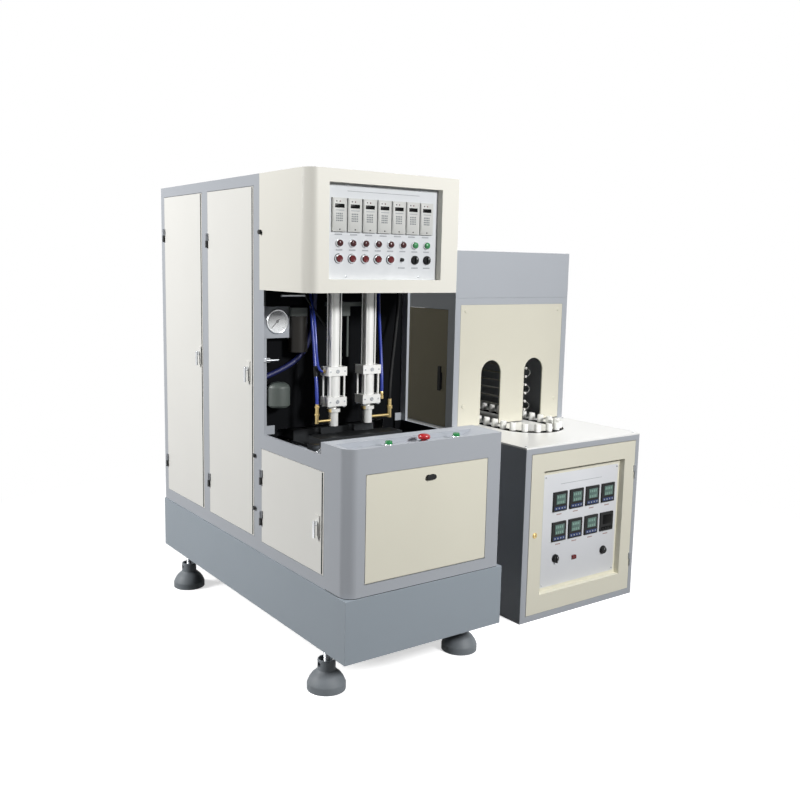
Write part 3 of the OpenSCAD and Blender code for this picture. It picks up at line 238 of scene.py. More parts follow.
@dataclass(frozen=True)
class Finish:
    """One surface finish: a base colour, a gloss and a fine pattern."""

    name: str
    colour: str
    roughness: float
    metallic: float = 0.0
    coat: float = 0.0
    # Size of the fine pattern in millimetres, and how deep it looks
    grain_mm: float = 3.0
    depth: float = 0.04
    # How far the colour drifts over the piece, as a share
    drift: float = 0.03
    # Stretch of the pattern along X, Y and Z: 1 is even
    stretch: Point = (1.0, 1.0, 1.0)
    alpha: float = 1.0
    transmission: float = 0.0
    specular: float = 0.5

    def material(self) -> bpy.types.Material:
        """Builds the node material, or returns the one already built.

        Returns:
            The material of this finish.
        """
        known = bpy.data.materials.get(self.name)
        if known is not None:
            return known
        made = bpy.data.materials.new(self.name)
        tree = empty_tree(made)
        place = add_node(tree, "TexCoord").outputs["Object"]
        spread = add_node(tree, "Mapping", {"Scale": self.stretch}, {"Vector": place})
        # One unit of the pattern is grain_mm, so the scale is 1000 / grain_mm per metre
        fine = add_node(
            tree, "TexNoise",
            {"Scale": MM / self.grain_mm, "Detail": 3.0, "Roughness": 0.55},
            {"Vector": spread.outputs["Vector"]},
        ).outputs["Fac"]
        # Broad unevenness of the coat, about 300 mm across, seen as a soft drift
        broad = add_node(tree, "TexNoise", {"Scale": 3.3, "Detail": 2.0},
                         {"Vector": place})
        base = linear(self.colour)
        low, high = (
            (*(min(1.0, c * share) for c in base[:3]), 1.0)
            for share in (1 - self.drift, 1 + self.drift)
        )
        tone = add_node(tree, "Mix", {"data_type": "RGBA", 6: low, 7: high},
                        {"Factor": broad.outputs["Fac"]})
        gloss = add_node(
            tree, "MapRange",
            {"From Min": 0.3, "From Max": 0.7,
             "To Min": max(0.02, self.roughness - 0.05),
             "To Max": min(1.0, self.roughness + 0.05)},
            {"Value": fine},
        )
        relief = add_node(
            tree, "Bump", {"Strength": self.depth, "Distance": self.grain_mm / MM},
            {"Height": fine},
        )
        shader = add_node(
            tree, "BsdfPrincipled",
            {"Metallic": self.metallic, "Coat Weight": self.coat,
             "Coat Roughness": 0.12, "Alpha": self.alpha,
             "Transmission Weight": self.transmission,
             "Specular IOR Level": self.specular},
            {"Base Color": tone.outputs[2], "Roughness": gloss.outputs["Result"],
             "Normal": relief.outputs["Normal"]},
        )
        add_node(tree, "OutputMaterial", links={"Surface": shader.outputs["BSDF"]})
        made.diffuse_color = base
        return made


# Sprayed stoving enamel on sheet steel: satin, with a faint orange peel that is
# drawn 4 mm wide, coarser than the real 1 mm, so that it can show
CREAM = Finish("cream stoving enamel", "#E0DFDA", 0.4, grain_mm=4.0, depth=0.03,
               specular=0.22)
HEAD_CREAM = replace(CREAM, name="head cream enamel", colour="#E2E0D7")
WARM_CREAM = replace(CREAM, name="warm cream enamel", colour="#DEDBCB")
OVEN_CREAM = replace(CREAM, name="oven cream enamel", colour="#D0CDBE")
GREY = replace(CREAM, name="grey stoving enamel", colour="#A8ACB2", roughness=0.42)
BASE_GREY = replace(CREAM, name="base grey enamel", colour="#959EA6", roughness=0.45)
# Cream of the oven's side door, painted darker: painted shade of the narrow gap between the machines
SHADED_DOOR_CREAM = replace(CREAM, name="door cream in painted shade", colour="#857F6C", roughness=0.45,
                specular=0.2)
PLATE_WHITE = Finish("screen printed white plate", "#CDD0D3", 0.5, grain_mm=1.5,
                     depth=0.01)
HEATER_PLATE = replace(PLATE_WHITE, name="screen printed grey white plate",
                       colour="#DADCE0")
# Near-black matt finish: partly the dark paint of the inner framework, partly painted shade laid on dark interiors,
# gaps, slots and the band under the head
DARK_PAINT_AND_SHADE = Finish("dark paint and painted shade", "#101113", 0.7, depth=0.05, drift=0.1,
                    specular=0.04)
BLACK_ENAMEL = Finish("black hinge enamel", "#222427", 0.38, coat=0.1, grain_mm=2.0)
# Painted grey cast iron of the feet: coarse sand-cast skin under thin paint
FOOT_IRON = Finish("painted cast iron foot", "#757B80", 0.55, grain_mm=2.2, depth=0.25,
                   drift=0.12)
STEEL = Finish("ground steel", "#B4B7BA", 0.34, 1.0, grain_mm=1.2, depth=0.06,
               stretch=(1.0, 12.0, 12.0))
# Platens and clamp parts stand in oil mist: blued grey and half matt
OILED_STEEL = Finish("oiled dark steel", "#2A2C2F", 0.5, 0.8, grain_mm=1.4, depth=0.08,
                     drift=0.15)
CHROME = Finish("hard chrome", "#D9DBDD", 0.12, 1.0, grain_mm=2.0, depth=0.01)
# Brushed stainless sheet: long hair lines along X, drawn 0.8 mm apart
STAINLESS = Finish("brushed stainless sheet", "#F1F1EF", 0.38, 0.35, grain_mm=0.8,
                   depth=0.05, stretch=(0.04, 1.0, 1.0))
# Milled aluminium of the mould: matt satin with fine cutter marks
MOULD_METAL = Finish("milled aluminium", "#3E4042", 0.45, 0.9, grain_mm=1.0, depth=0.08,
                     stretch=(1.0, 1.0, 9.0))
# Clear anodised cylinder parts: pale, smooth and almost white in the light
ANODISED = Finish("clear anodised aluminium", "#F0F0ED", 0.36, 0.25, grain_mm=1.5,
                  depth=0.01, stretch=(1.0, 1.0, 0.1))
BRASS = Finish("turned brass", "#CDB680", 0.3, 1.0, grain_mm=1.0, depth=0.03)
# Moulded ABS and phenolic: fine spark-eroded grain of 0.8 mm
BLACK_ABS = Finish("black moulded ABS", "#101112", 0.42, grain_mm=0.8, depth=0.06,
                   specular=0.25)
GREY_ABS = Finish("light grey moulded ABS", "#C4C5C2", 0.5, grain_mm=0.8, depth=0.05)
WHITE_ABS = Finish("white moulded acetal", "#EEEEEA", 0.4, grain_mm=0.8, depth=0.05)
RED_CAP = Finish("red polycarbonate cap", "#5E0C12", 0.25, coat=0.08, grain_mm=1.0,
                 depth=0.01, specular=0.3)
RED_LENS = replace(RED_CAP, name="dark red lens", colour="#3C070B", roughness=0.15,
                   coat=0.12, depth=0.02)
STOP_RED = Finish("red stop cap", "#A80D14", 0.3, coat=0.25, grain_mm=1.0, depth=0.01)
GREEN_CAP = replace(STOP_RED, name="green polycarbonate cap", colour="#157A3E",
                    roughness=0.25)
# Display windows: smoked acrylic and reflective grey-green liquid crystal
SMOKED = Finish("smoked acrylic window", "#040505", 0.3, grain_mm=2.0, depth=0.0,
                specular=0.08)
LIQUID_CRYSTAL = replace(SMOKED, name="liquid crystal window", colour="#58716B",
                         roughness=0.35, specular=0.3)
LIT_DIGITS = Finish("pale display digits", "#86A99B", 0.4, grain_mm=1.0, depth=0.0)
BLUE_KEYS = Finish("blue membrane strip", "#162F60", 0.5, grain_mm=1.0, depth=0.03)
# Polyurethane air tube: smooth, slightly waxy
BLUE_HOSE = Finish("blue polyurethane tube", "#16339C", 0.3, coat=0.2, grain_mm=2.0,
                   depth=0.02)
# Wires in a spiral wrap: the same tube material, dyed darker
BUNDLE_BLUE = Finish("dark blue wire wrap", "#10184E", 0.5, grain_mm=6.0, depth=0.3,
                     stretch=(1.0, 1.0, 0.4))
BLACK_HOSE = Finish("black rubber hose", "#0E0F10", 0.55, grain_mm=1.2, depth=0.1,
                    specular=0.2)
# Air service parts: brown-black polycarbonate bowls under a cast grey-green head
BOWL = Finish("smoked polycarbonate bowl", "#17140F", 0.35, grain_mm=2.0, depth=0.02,
              specular=0.3)
CAST_HEAD = Finish("grey-green cast head", "#4E5551", 0.5, grain_mm=1.8, depth=0.15)
CERAMIC = Finish("white steatite ceramic", "#F1EFE8", 0.45, grain_mm=1.0, depth=0.03)
QUARTZ = Finish("frosted quartz tube", "#CFCCC4", 0.25, grain_mm=2.0, depth=0.02,
                transmission=0.35)
WIRE_GREY = Finish("glass braid wire", "#8F8F8A", 0.6, grain_mm=0.8, depth=0.1)
DIAL_WHITE = Finish("white gauge dial", "#F2F4F5", 0.4, grain_mm=2.0, depth=0.0)
CLEAR_GLASS = Finish("clear gauge glass", "#FFFFFF", 0.04, coat=1.0, grain_mm=5.0,
                     depth=0.0, alpha=0.12)
KEY_GREY = Finish("grey rubber key", "#7C8184", 0.6, grain_mm=1.0, depth=0.05)
LABEL = Finish("engraved label strip", "#9EA2A6", 0.5, grain_mm=1.0, depth=0.02)
RED_LABEL = replace(LABEL, name="reddish label strip", colour="#A8908C")


# ---- the modelling bench ----


def active() -> Obj | None:
    """Gives the object in hand.

    Returns:
        The active object, if there is one.
    """
    return bpy.context.view_layer.objects.active


def bare() -> None:
    """Leaves edit mode and deselects everything."""
    if active() is not None and active().mode != "OBJECT":
        bpy.ops.object.mode_set(mode="OBJECT")
    bpy.ops.object.select_all(action="DESELECT")
    bpy.context.view_layer.objects.active = None


def hold(*objects: Obj) -> None:
    """Selects these objects alone, and makes the first one active.

    Args:
        *objects: the objects to take in hand.
    """
    bare()
    for each in objects:
        each.select_set(True)
    bpy.context.view_layer.objects.active = objects[0]


def settle(obj: Obj) -> Obj:
    """Puts the object's place into its mesh, so that it sits at the origin.

    Args:
        obj: the object.

    Returns:
        The same object.
    """
    hold(obj)
    bpy.ops.object.transform_apply(location=True, rotation=True, scale=True)
    return obj


@contextmanager
def editing(obj: Obj) -> Iterator[None]:
    """Holds an object in edit mode, with its whole mesh selected at first.

    Args:
        obj: the object.

    Yields:
        Nothing. The object is back in object mode afterwards.
    """
    hold(obj)
    bpy.ops.object.mode_set(mode="EDIT")
    bpy.ops.mesh.select_all(action="SELECT")
    yield
    bpy.ops.object.mode_set(mode="OBJECT")


def pick(obj: Obj, kind: str, test: Callable[..., bool]) -> None:
    """Selects, in edit mode, only the faces or corners that pass a test.

    Args:
        obj: the object in edit mode.
        kind: "faces" or "verts".
        test: says of one of them whether it is selected.
    """
    bpy.ops.mesh.select_all(action="DESELECT")
    mesh = bmesh.from_edit_mesh(obj.data)
    for each in getattr(mesh, kind):
        each.select = test(each)
    mesh.select_flush_mode()
    bmesh.update_edit_mesh(obj.data)


def new_object(name: str, data: bpy.types.ID) -> Obj:
    """Makes an object and links it to the scene.

    Args:
        name: its name.
        data: its mesh, lamp or camera.

    Returns:
        The object.
    """
    obj = bpy.data.objects.new(name, data)
    bpy.context.scene.collection.objects.link(obj)
    return obj


def smooth(obj: Obj, degrees: float) -> None:
    """Shades an object smooth, except over sharp edges.

    Args:
        obj: the object.
        degrees: the angle from which an edge is sharp.
    """
    hold(obj)
    bpy.ops.object.shade_smooth_by_angle(angle=math.radians(degrees))


def dress(obj: Obj, finish: Finish) -> Obj:
    """Gives the whole object one finish.

    Args:
        obj: the object.
        finish: its finish.

    Returns:
        The same object.
    """
    obj.data.materials.clear()
    obj.data.materials.append(finish.material())
    return obj


def join(name: str, parts: Sequence[Obj]) -> Obj:
    """Joins parts into one named piece.

    Args:
        name: the piece's name.
        parts: the parts, all settled.

    Returns:
        The piece.
    """
    hold(*parts)
    if len(parts) > 1:
        bpy.ops.object.join()
    piece = active()
    piece.name = piece.data.name = name
    return piece


def fix(node: str, body: str, slot: str, *parts: Obj) -> None:
    """Joins parts into the piece that rides on a body in place of a CAD node.

    Args:
        node: the CAD node. The piece is named after it.
        body: the CAD body's name.
        slot: the record's material slot.
        *parts: the parts, all settled.
    """
    piece = join(node + "_dressed", parts)
    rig.ride(piece, body)
    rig.slot(piece, slot)
    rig.replaces(piece, node)
    LOG.info("piece %s on %s: %d faces", piece.name, body, len(piece.data.polygons))


@dataclass(frozen=True)
class Bench:
    """Adds shapes at places in millimetres, counted from one machine's corner."""

    x: float
    y: float

    def at(self, x: float, y: float, z: float) -> Vector:
        """Turns a place in millimetres into metres of the shared frame.

        Args:
            x: distance to the right of the machine's corner.
            y: distance behind it.
            z: height above the floor.

        Returns:
            The place in metres.
        """
        return Vector(((x + self.x) / MM, (y + self.y) / MM, z / MM))

    def block(
        self,
        low: Point,
        high: Point,
        finish: Finish,
        edge: float = 0.8,
        taper: float = 0.0,
        rounds: int = 2,
    ) -> Obj:
        """Makes a block with broken edges, and with its front drawn in if asked.

        Args:
            low: lowest corner in millimetres.
            high: highest corner in millimetres.
            finish: its finish.
            edge: radius of its edges.
            taper: share by which the face at low Y is made smaller.
            rounds: segments of its edges.

        Returns:
            The block.
        """
        bare()
        start, end = self.at(*low), self.at(*high)
        bpy.ops.mesh.primitive_cube_add(
            size=1, location=(start + end) / 2, scale=end - start
        )
        obj = settle(active())
        with editing(obj):
            if taper:
                pick(obj, "faces", lambda face: face.normal.y < -0.9)
                bpy.ops.transform.resize(value=(1 - taper, 1, 1 - taper))
                bpy.ops.mesh.select_all(action="SELECT")
            if edge:
                bpy.ops.mesh.bevel(offset=edge / MM, segments=rounds, affect="EDGES")
        smooth(obj, 40)
        return dress(obj, finish)

    def turned(
        self,
        foot: Point,
        profile: Profile,
        finish: Finish,
        axis: Axis = Axis.UP,
        sides: int = 32,
    ) -> Obj:
        """Makes a turned piece: a disc drawn out step by step along its profile.

        Args:
            foot: the place of the profile's zero height.
            profile: radius and height of each step, in millimetres.
            finish: its finish.
            axis: the way in which it grows.
            sides: sides of the disc, 6 for a nut.

        Returns:
            The turned piece.
        """
        bare()
        radius, height = profile[0]
        bpy.ops.mesh.primitive_circle_add(
            vertices=sides,
            radius=radius / MM,
            fill_type="NGON",
            location=(0, 0, height / MM),
        )
        obj = settle(active())
        with editing(obj):
            for new_radius, new_height in profile[1:]:
                step = {"value": (0, 0, (new_height - height) / MM)}
                bpy.ops.mesh.extrude_region_move(TRANSFORM_OT_translate=step)
                if new_radius != radius:
                    share = new_radius / radius
                    bpy.ops.transform.resize(value=(share, share, 1))
                radius, height = new_radius, new_height
            bpy.ops.mesh.select_all(action="SELECT")
            bpy.ops.mesh.normals_make_consistent(inside=False)
        obj.rotation_euler = axis.value
        obj.location = self.at(*foot)
        smooth(settle(obj), 32)
        return dress(obj, finish)

    def screw(
        self, place: Point, axis: Axis, finish: Finish = STEEL, radius: float = 5.0
    ) -> Obj:
        """Makes a pan head screw with a sunken hexagon.

        Args:
            place: where its head meets the sheet.
            axis: the way in which the head stands out.
            finish: its finish.
            radius: radius of the head.

        Returns:
            The screw head.
        """
        r = radius
        profile = [(r, 0), (r, r * 0.35), (r * 0.85, r * 0.6), (r * 0.5, r * 0.68),
                   (r * 0.42, r * 0.3)]
        return self.turned(place, profile, finish, axis, sides=12)

    def nut(
        self, place: Point, across: float, tall: float, finish: Finish,
        axis: Axis = Axis.UP,
    ) -> Obj:
        """Makes a hexagon nut with chamfered corners.

        Args:
            place: where its foot sits.
            across: radius over its corners.
            tall: its height.
            finish: its finish.
            axis: the way in which it grows.

        Returns:
            The nut.
        """
        r = across
        profile = [(r * 0.9, 0), (r, tall * 0.12), (r, tall * 0.88), (r * 0.9, tall)]
        return self.turned(place, profile, finish, axis, sides=6)

    def copies(self, obj: Obj, shifts: Sequence[Point]) -> list[Obj]:
        """Copies a finished part, each copy with its own mesh.

        Args:
            obj: the part.
            shifts: the moves in millimetres, one for each copy.

        Returns:
            The part and its copies.
        """
        made = [obj]
        for dx, dy, dz in shifts:
            hold(obj)
            bpy.ops.object.duplicate(linked=False)
            twin = active()
            twin.location = Vector((dx, dy, dz)) / MM
            made.append(settle(twin))
        return made

    def hose(
        self, name: str, points: Sequence[Point], radius: float, finish: Finish,
        steps: int = 24,
    ) -> Obj:
        """Draws a hose along one cubic curve.

        Args:
            name: its name.
            points: start, two control points and end, in millimetres.
            radius: its radius.
            finish: its finish.
            steps: rings along it.

        Returns:
            The hose as a mesh.
        """
        bare()
        bpy.ops.curve.primitive_bezier_curve_add()
        obj = active()
        obj.location = (0, 0, 0)
        curve = obj.data
        first, last = curve.splines[0].bezier_points
        for knot in (first, last):
            knot.handle_left_type = knot.handle_right_type = "FREE"
        p = [self.at(*q) for q in points]
        first.co, first.handle_right, first.handle_left = p[0], p[1], 2 * p[0] - p[1]
        last.co, last.handle_left, last.handle_right = p[3], p[2], 2 * p[3] - p[2]
        curve.dimensions = "3D"
        curve.resolution_u = steps
        curve.bevel_depth = radius / MM
        curve.bevel_resolution = 4
        curve.use_fill_caps = True
        bpy.ops.object.convert(target="MESH")
        tube = settle(active())
        tube.name = name
        with editing(tube):
            bpy.ops.mesh.remove_doubles(threshold=0.00001)
            bpy.ops.mesh.normals_make_consistent(inside=False)
        smooth(tube, 50)
        return dress(tube, finish)

    def patch(
        self, piece: Obj, low: Point, high: Point, finish: Finish,
        normal: Point | None = None,
    ) -> None:
        """Gives a second finish to the faces in a box.

        Args:
            piece: the piece.
            low: lowest corner of the box in millimetres.
            high: highest corner of the box in millimetres.
            finish: the finish of those faces.
            normal: the direction that the faces must look in, if it matters.
        """
        start, end = self.at(*low), self.at(*high)
        names = [m.name for m in piece.data.materials]
        if finish.name not in names:
            piece.data.materials.append(finish.material())
            names.append(finish.name)
        index = names.index(finish.name)
        way = Vector(normal) if normal else None
        for face in piece.data.polygons:
            inside = all(a <= c <= b for a, c, b in zip(start, face.center, end))
            if inside and (way is None or face.normal.dot(way) > 0.7):
                face.material_index = index


BLOWER = Bench(-889.5, -819.0)
HEATER = Bench(179.5, -587.0)


def from_cad(
    node: str,
    finish: Finish,
    edge: float = 1.0,
    name: str = "",
    rounds: int = 2,
    cuts: Sequence[tuple[Vector, Point]] = (),
) -> Obj:
    """Copies a CAD node's mesh, heals it and breaks its edges.

    Args:
        node: the CAD node.
        finish: the copy's finish.
        edge: radius of the broken edges in millimetres, 0 for none.
        name: the piece's name, else the node's with _dressed.
        rounds: segments of the broken edges.
        cuts: planes that part the faces for a second finish, as place and normal.

    Returns:
        The piece, still free of any body.
    """
    bare()
    piece = new_object(name or node + "_dressed", frame["nodes"][node].data.copy())
    with editing(piece):
        bpy.ops.mesh.remove_doubles(threshold=0.000002)
        bpy.ops.mesh.dissolve_limited(angle_limit=math.radians(0.6))
        for place, normal in cuts:
            bpy.ops.mesh.select_all(action="SELECT")
            bpy.ops.mesh.bisect(plane_co=place, plane_no=normal)
    if edge:
        bevel = piece.modifiers.new("broken edges", "BEVEL")
        bevel.width = edge / MM
        bevel.segments = rounds
        bevel.limit_method = "ANGLE"
        bevel.angle_limit = math.radians(38)
        bevel.use_clamp_overlap = True
        bpy.ops.object.modifier_apply(modifier=bevel.name)
    smooth(piece, 38)
    flat = piece.modifiers.new("flat faces", "WEIGHTED_NORMAL")
    flat.keep_sharp = True
    bpy.ops.object.modifier_apply(modifier=flat.name)
    return dress(piece, finish)


def plain(node: str, finish: Finish, edge: float, body: str, slot: str) -> None:
    """Dresses a CAD node in one finish and fixes it.

    Args:
        node: the CAD node.
        finish: its finish.
        edge: radius of the broken edges in millimetres.
        body: the CAD body's name.
        slot: the record's material slot.
    """
    fix(node, body, slot, from_cad(node, finish, edge))


# ---- the blowing machine ----


@dataclass
class Plinth:
    """The base of the blowing machine with its four levelling feet."""

    foot_places: tuple[tuple[float, float], ...] = (
        (44, 190), (686, 190), (44, 1465), (686, 1465),
    )
    stud_radius: float = 12.0
    thread_low: float = 96.0
    thread_pitch: float = 2.4
    thread_turns: int = 21
    underside: float = 167.0

    def build(self) -> None:
        """Dresses the housing and the feet, and makes the threaded studs with nuts."""
        plain("base_plinth", BASE_GREY, 2.0, "machine", "dark_paint")
        plain("foot_pads", FOOT_IRON, 1.2, "machine", "foot_iron")
        x, y = self.foot_places[0]
        r, pitch = self.stud_radius, self.thread_pitch
        thread = [(r, 84)]
        for i in range(self.thread_turns):
            z = self.thread_low + pitch * i
            thread += [(r, z), (r - 1.0, z + pitch / 2)]
        stud = BLOWER.turned((x, y, 0), [*thread, (r, 148), (r, 199)], STEEL, sides=20)
        lower = BLOWER.nut((x, y, self.underside - 18), 21, 18, STEEL)
        upper = BLOWER.nut((x, y, self.underside + 12), 21, 15, STEEL)
        one = join("foot_studs_dressed", [stud, lower, upper])
        shifts = [(px - x, py - y, 0) for px, py in self.foot_places[1:]]
        fix("foot_studs", "machine", "bright_steel", *BLOWER.copies(one, shifts))


@dataclass
class LeverLock:
    """A quarter-turn lever lock on a side door."""

    node: str
    body: str
    place: Point
    frame_depth: float
    cam: float

    def build(self) -> None:
        """Models the lever, its spindle and its cam, turns them and fixes them."""
        origin = Bench(0, 0)
        deep = self.frame_depth + 3
        piece = join(self.node + "_dressed", [
            origin.turned((0, -3.2, 0), [(8, 0), (9, 1), (9, 6), (7, 8.8)], CHROME,
                          Axis.FRONT, 28),
            origin.turned((0, deep + 3, 0), [(6, 0), (6, deep + 17)], CHROME,
                          Axis.FRONT, 20),
            origin.block((-6, -20, -54), (6, -12, 10), CHROME, 2.4, 0.2, 3),
            origin.block((-7, deep, -self.cam), (7, deep + 3, 7), STEEL, 0.5),
            origin.screw((0, deep + 3, 0), Axis.BACK, STEEL, 5.5),
        ])
        piece.rotation_euler = (0, 0, -math.pi / 2)
        piece.location = BLOWER.at(*self.place)
        fix(self.node, self.body, "black_plastic", settle(piece))


@dataclass
class OvalLock:
    """The small oval grip on the console's door."""

    place: Point = (366.0, 5.0, 803.0)
    reach: float = 12.0

    def build(self) -> None:
        """Draws a disc out into an oval, adds its spindle and cam and fixes it."""
        x, y, z = self.place
        grip = BLOWER.turned(
            (x, y - 2, z),
            [(8.6, 0), (10, 1), (10, 6), (9, 7.6), (7, 8), (6.4, 7.2), (2, 7)],
            BLACK_ABS, Axis.FRONT, 32)
        middle = BLOWER.at(x, y, z).x
        for sign in (-1, 1):
            with editing(grip):
                pick(grip, "verts", lambda vert: sign * (vert.co.x - middle) > 0.0001)
                bpy.ops.transform.translate(value=(sign * self.reach / MM, 0, 0))
        fix("console_lock", "lock_console", "black_plastic", grip,
            BLOWER.turned((x, y + 24, z), [(6, 0), (6, 26)], STEEL, Axis.FRONT, 20),
            BLOWER.block((x - 50, y + 21, z - 7), (x + 7, y + 24, z + 7), STEEL, 0.5))


@dataclass
class KeyLock:
    """The round key lock on the heater's door."""

    place: Point = (70.0, 0.0, 396.0)

    def build(self) -> None:
        """Models the flange, the barrel, the cam and the key slot, and fixes them."""
        x, y, z = self.place
        flange = [(13, 0), (13, 1.3), (12.3, 2), (10.2, 2), (10, 3.5), (9.3, 4), (8, 4),
                  (7.6, 3.4)]
        fix("heater_lock", "lock_heater", "black_plastic",
            HEATER.turned((x, y - 0.2, z), flange, BRASS, Axis.FRONT, 36),
            HEATER.turned((x, y + 24, z), [(8, 0), (8, 23.9)], STEEL, Axis.FRONT, 24),
            HEATER.block((x - 7, y + 21, z - 42), (x + 7, y + 24, z + 7), STEEL, 0.5),
            HEATER.block((x - 0.9, y - 4.1, z - 4), (x + 0.9, y - 3.4, z + 4),
                         BLACK_ABS, 0))


@dataclass
class Cabinet:
    """The tall rear cabinet: frame, fixed panels and the two side doors."""

    end: float = 1650.0
    louvre_columns: tuple[float, ...] = (130.0, 400.0)
    louvre_rows: tuple[float, ...] = (560.0, 1500.0)
    louvre_pitch: float = 18.0
    louvres: int = 10
    stop_heights: tuple[float, ...] = (578.0, 795.0)

    def frame_and_panels(self) -> None:
        """Dresses the frame, the fixed panels and the louvre hoods."""
        cuts = [(BLOWER.at(697.5, 0, 0), (1, 0, 0)), (BLOWER.at(0, 0, 1457.5), (0, 0, 1))]
        piece = from_cad("cabinet_frame", GREY, 1.5, cuts=cuts)
        # The bulkhead's face into the bay and the cabinet's inside take the near-black finish: painted shade of the
        # dark interior, partly dark paint
        BLOWER.patch(piece, (18, 640, 405), (697, 652, 1457), DARK_PAINT_AND_SHADE, (0, -1, 0))
        BLOWER.patch(piece, (50, 655, 405), (664, 1645, 1895), DARK_PAINT_AND_SHADE)
        fix("cabinet_frame", "machine", "grey_paint", piece)
        panels = from_cad("cabinet_panels", CREAM, 0.8)
        x, z = self.louvre_columns[0], self.louvre_rows[0]
        hood = BLOWER.block((x - 3, self.end - 1, z + 9), (x + 183, self.end + 4.5, z + 16),
                            CREAM, 2.4, 0.0, 3)
        shifts = [
            (column - x, 0, row - z + self.louvre_pitch * i)
            for column in self.louvre_columns
            for row in self.louvre_rows
            for i in range(self.louvres)
        ]
        screws = [
            BLOWER.screw((x, self.end, z), Axis.BACK)
            for x in (62, 653)
            for z in (480, 1150, 1815)
        ]
        fix("cabinet_panels", "machine", "cream_paint", panels,
            *BLOWER.copies(hood, shifts[1:]), *screws)

    def door(self, node: str, body: str, edge_y: float, hinges: Sequence[float]) -> None:
        """Dresses a side door, paints its hinge halves grey and adds a dark strip of painted shade along its closing
        edge.

        Args:
            node: the door's CAD node.
            body: its body.
            edge_y: depth of its hinged edge.
            hinges: heights of its hinges.
        """
        piece = from_cad(node, CREAM, 1.5)
        for z in hinges:
            BLOWER.patch(piece, (-10, edge_y - 30, z - 3), (4.9, edge_y + 8, z + 33), GREY)
        # A dark strip along the closing edge: painted shade of the gap there
        places = [v.co for v in piece.data.vertices]
        edge = min(p.y for p in places) * MM - BLOWER.y
        low, high = (end(p.z for p in places) * MM for end in (min, max))
        gap_shade_strip = BLOWER.block((4.4, edge + 7, low + 3), (5.4, edge + 14, high - 3),
                            DARK_PAINT_AND_SHADE, 0)
        fix(node, body, "cream_paint", piece, gap_shade_strip)

    def build(self) -> None:
        """Builds the cabinet."""
        self.frame_and_panels()
        self.door("rear_door", "door_rear", 1613, (1681, 600))
        self.door("front_cabinet_door", "door_front", 1128, (1652, 602))
        LeverLock("rear_lock", "lock_rear", (5, 1220, 1160), 40, 55).build()
        LeverLock("front_lock", "lock_front", (5, 745, 1140), 40, 54).build()
        pins = from_cad("hinge_pins", BLACK_ENAMEL, 0.6)
        HEATER.patch(pins, (-30, -30, 0), (760, 1400, 1300), GREY)
        stops = [
            BLOWER.turned((0.2, 686, z), [(9, 0), (9, 2), (6.5, 4.4)], BLACK_ABS,
                          Axis.LEFT, 24)
            for z in self.stop_heights
        ]
        fix("hinge_pins", "machine", "black_paint", pins, *stops)


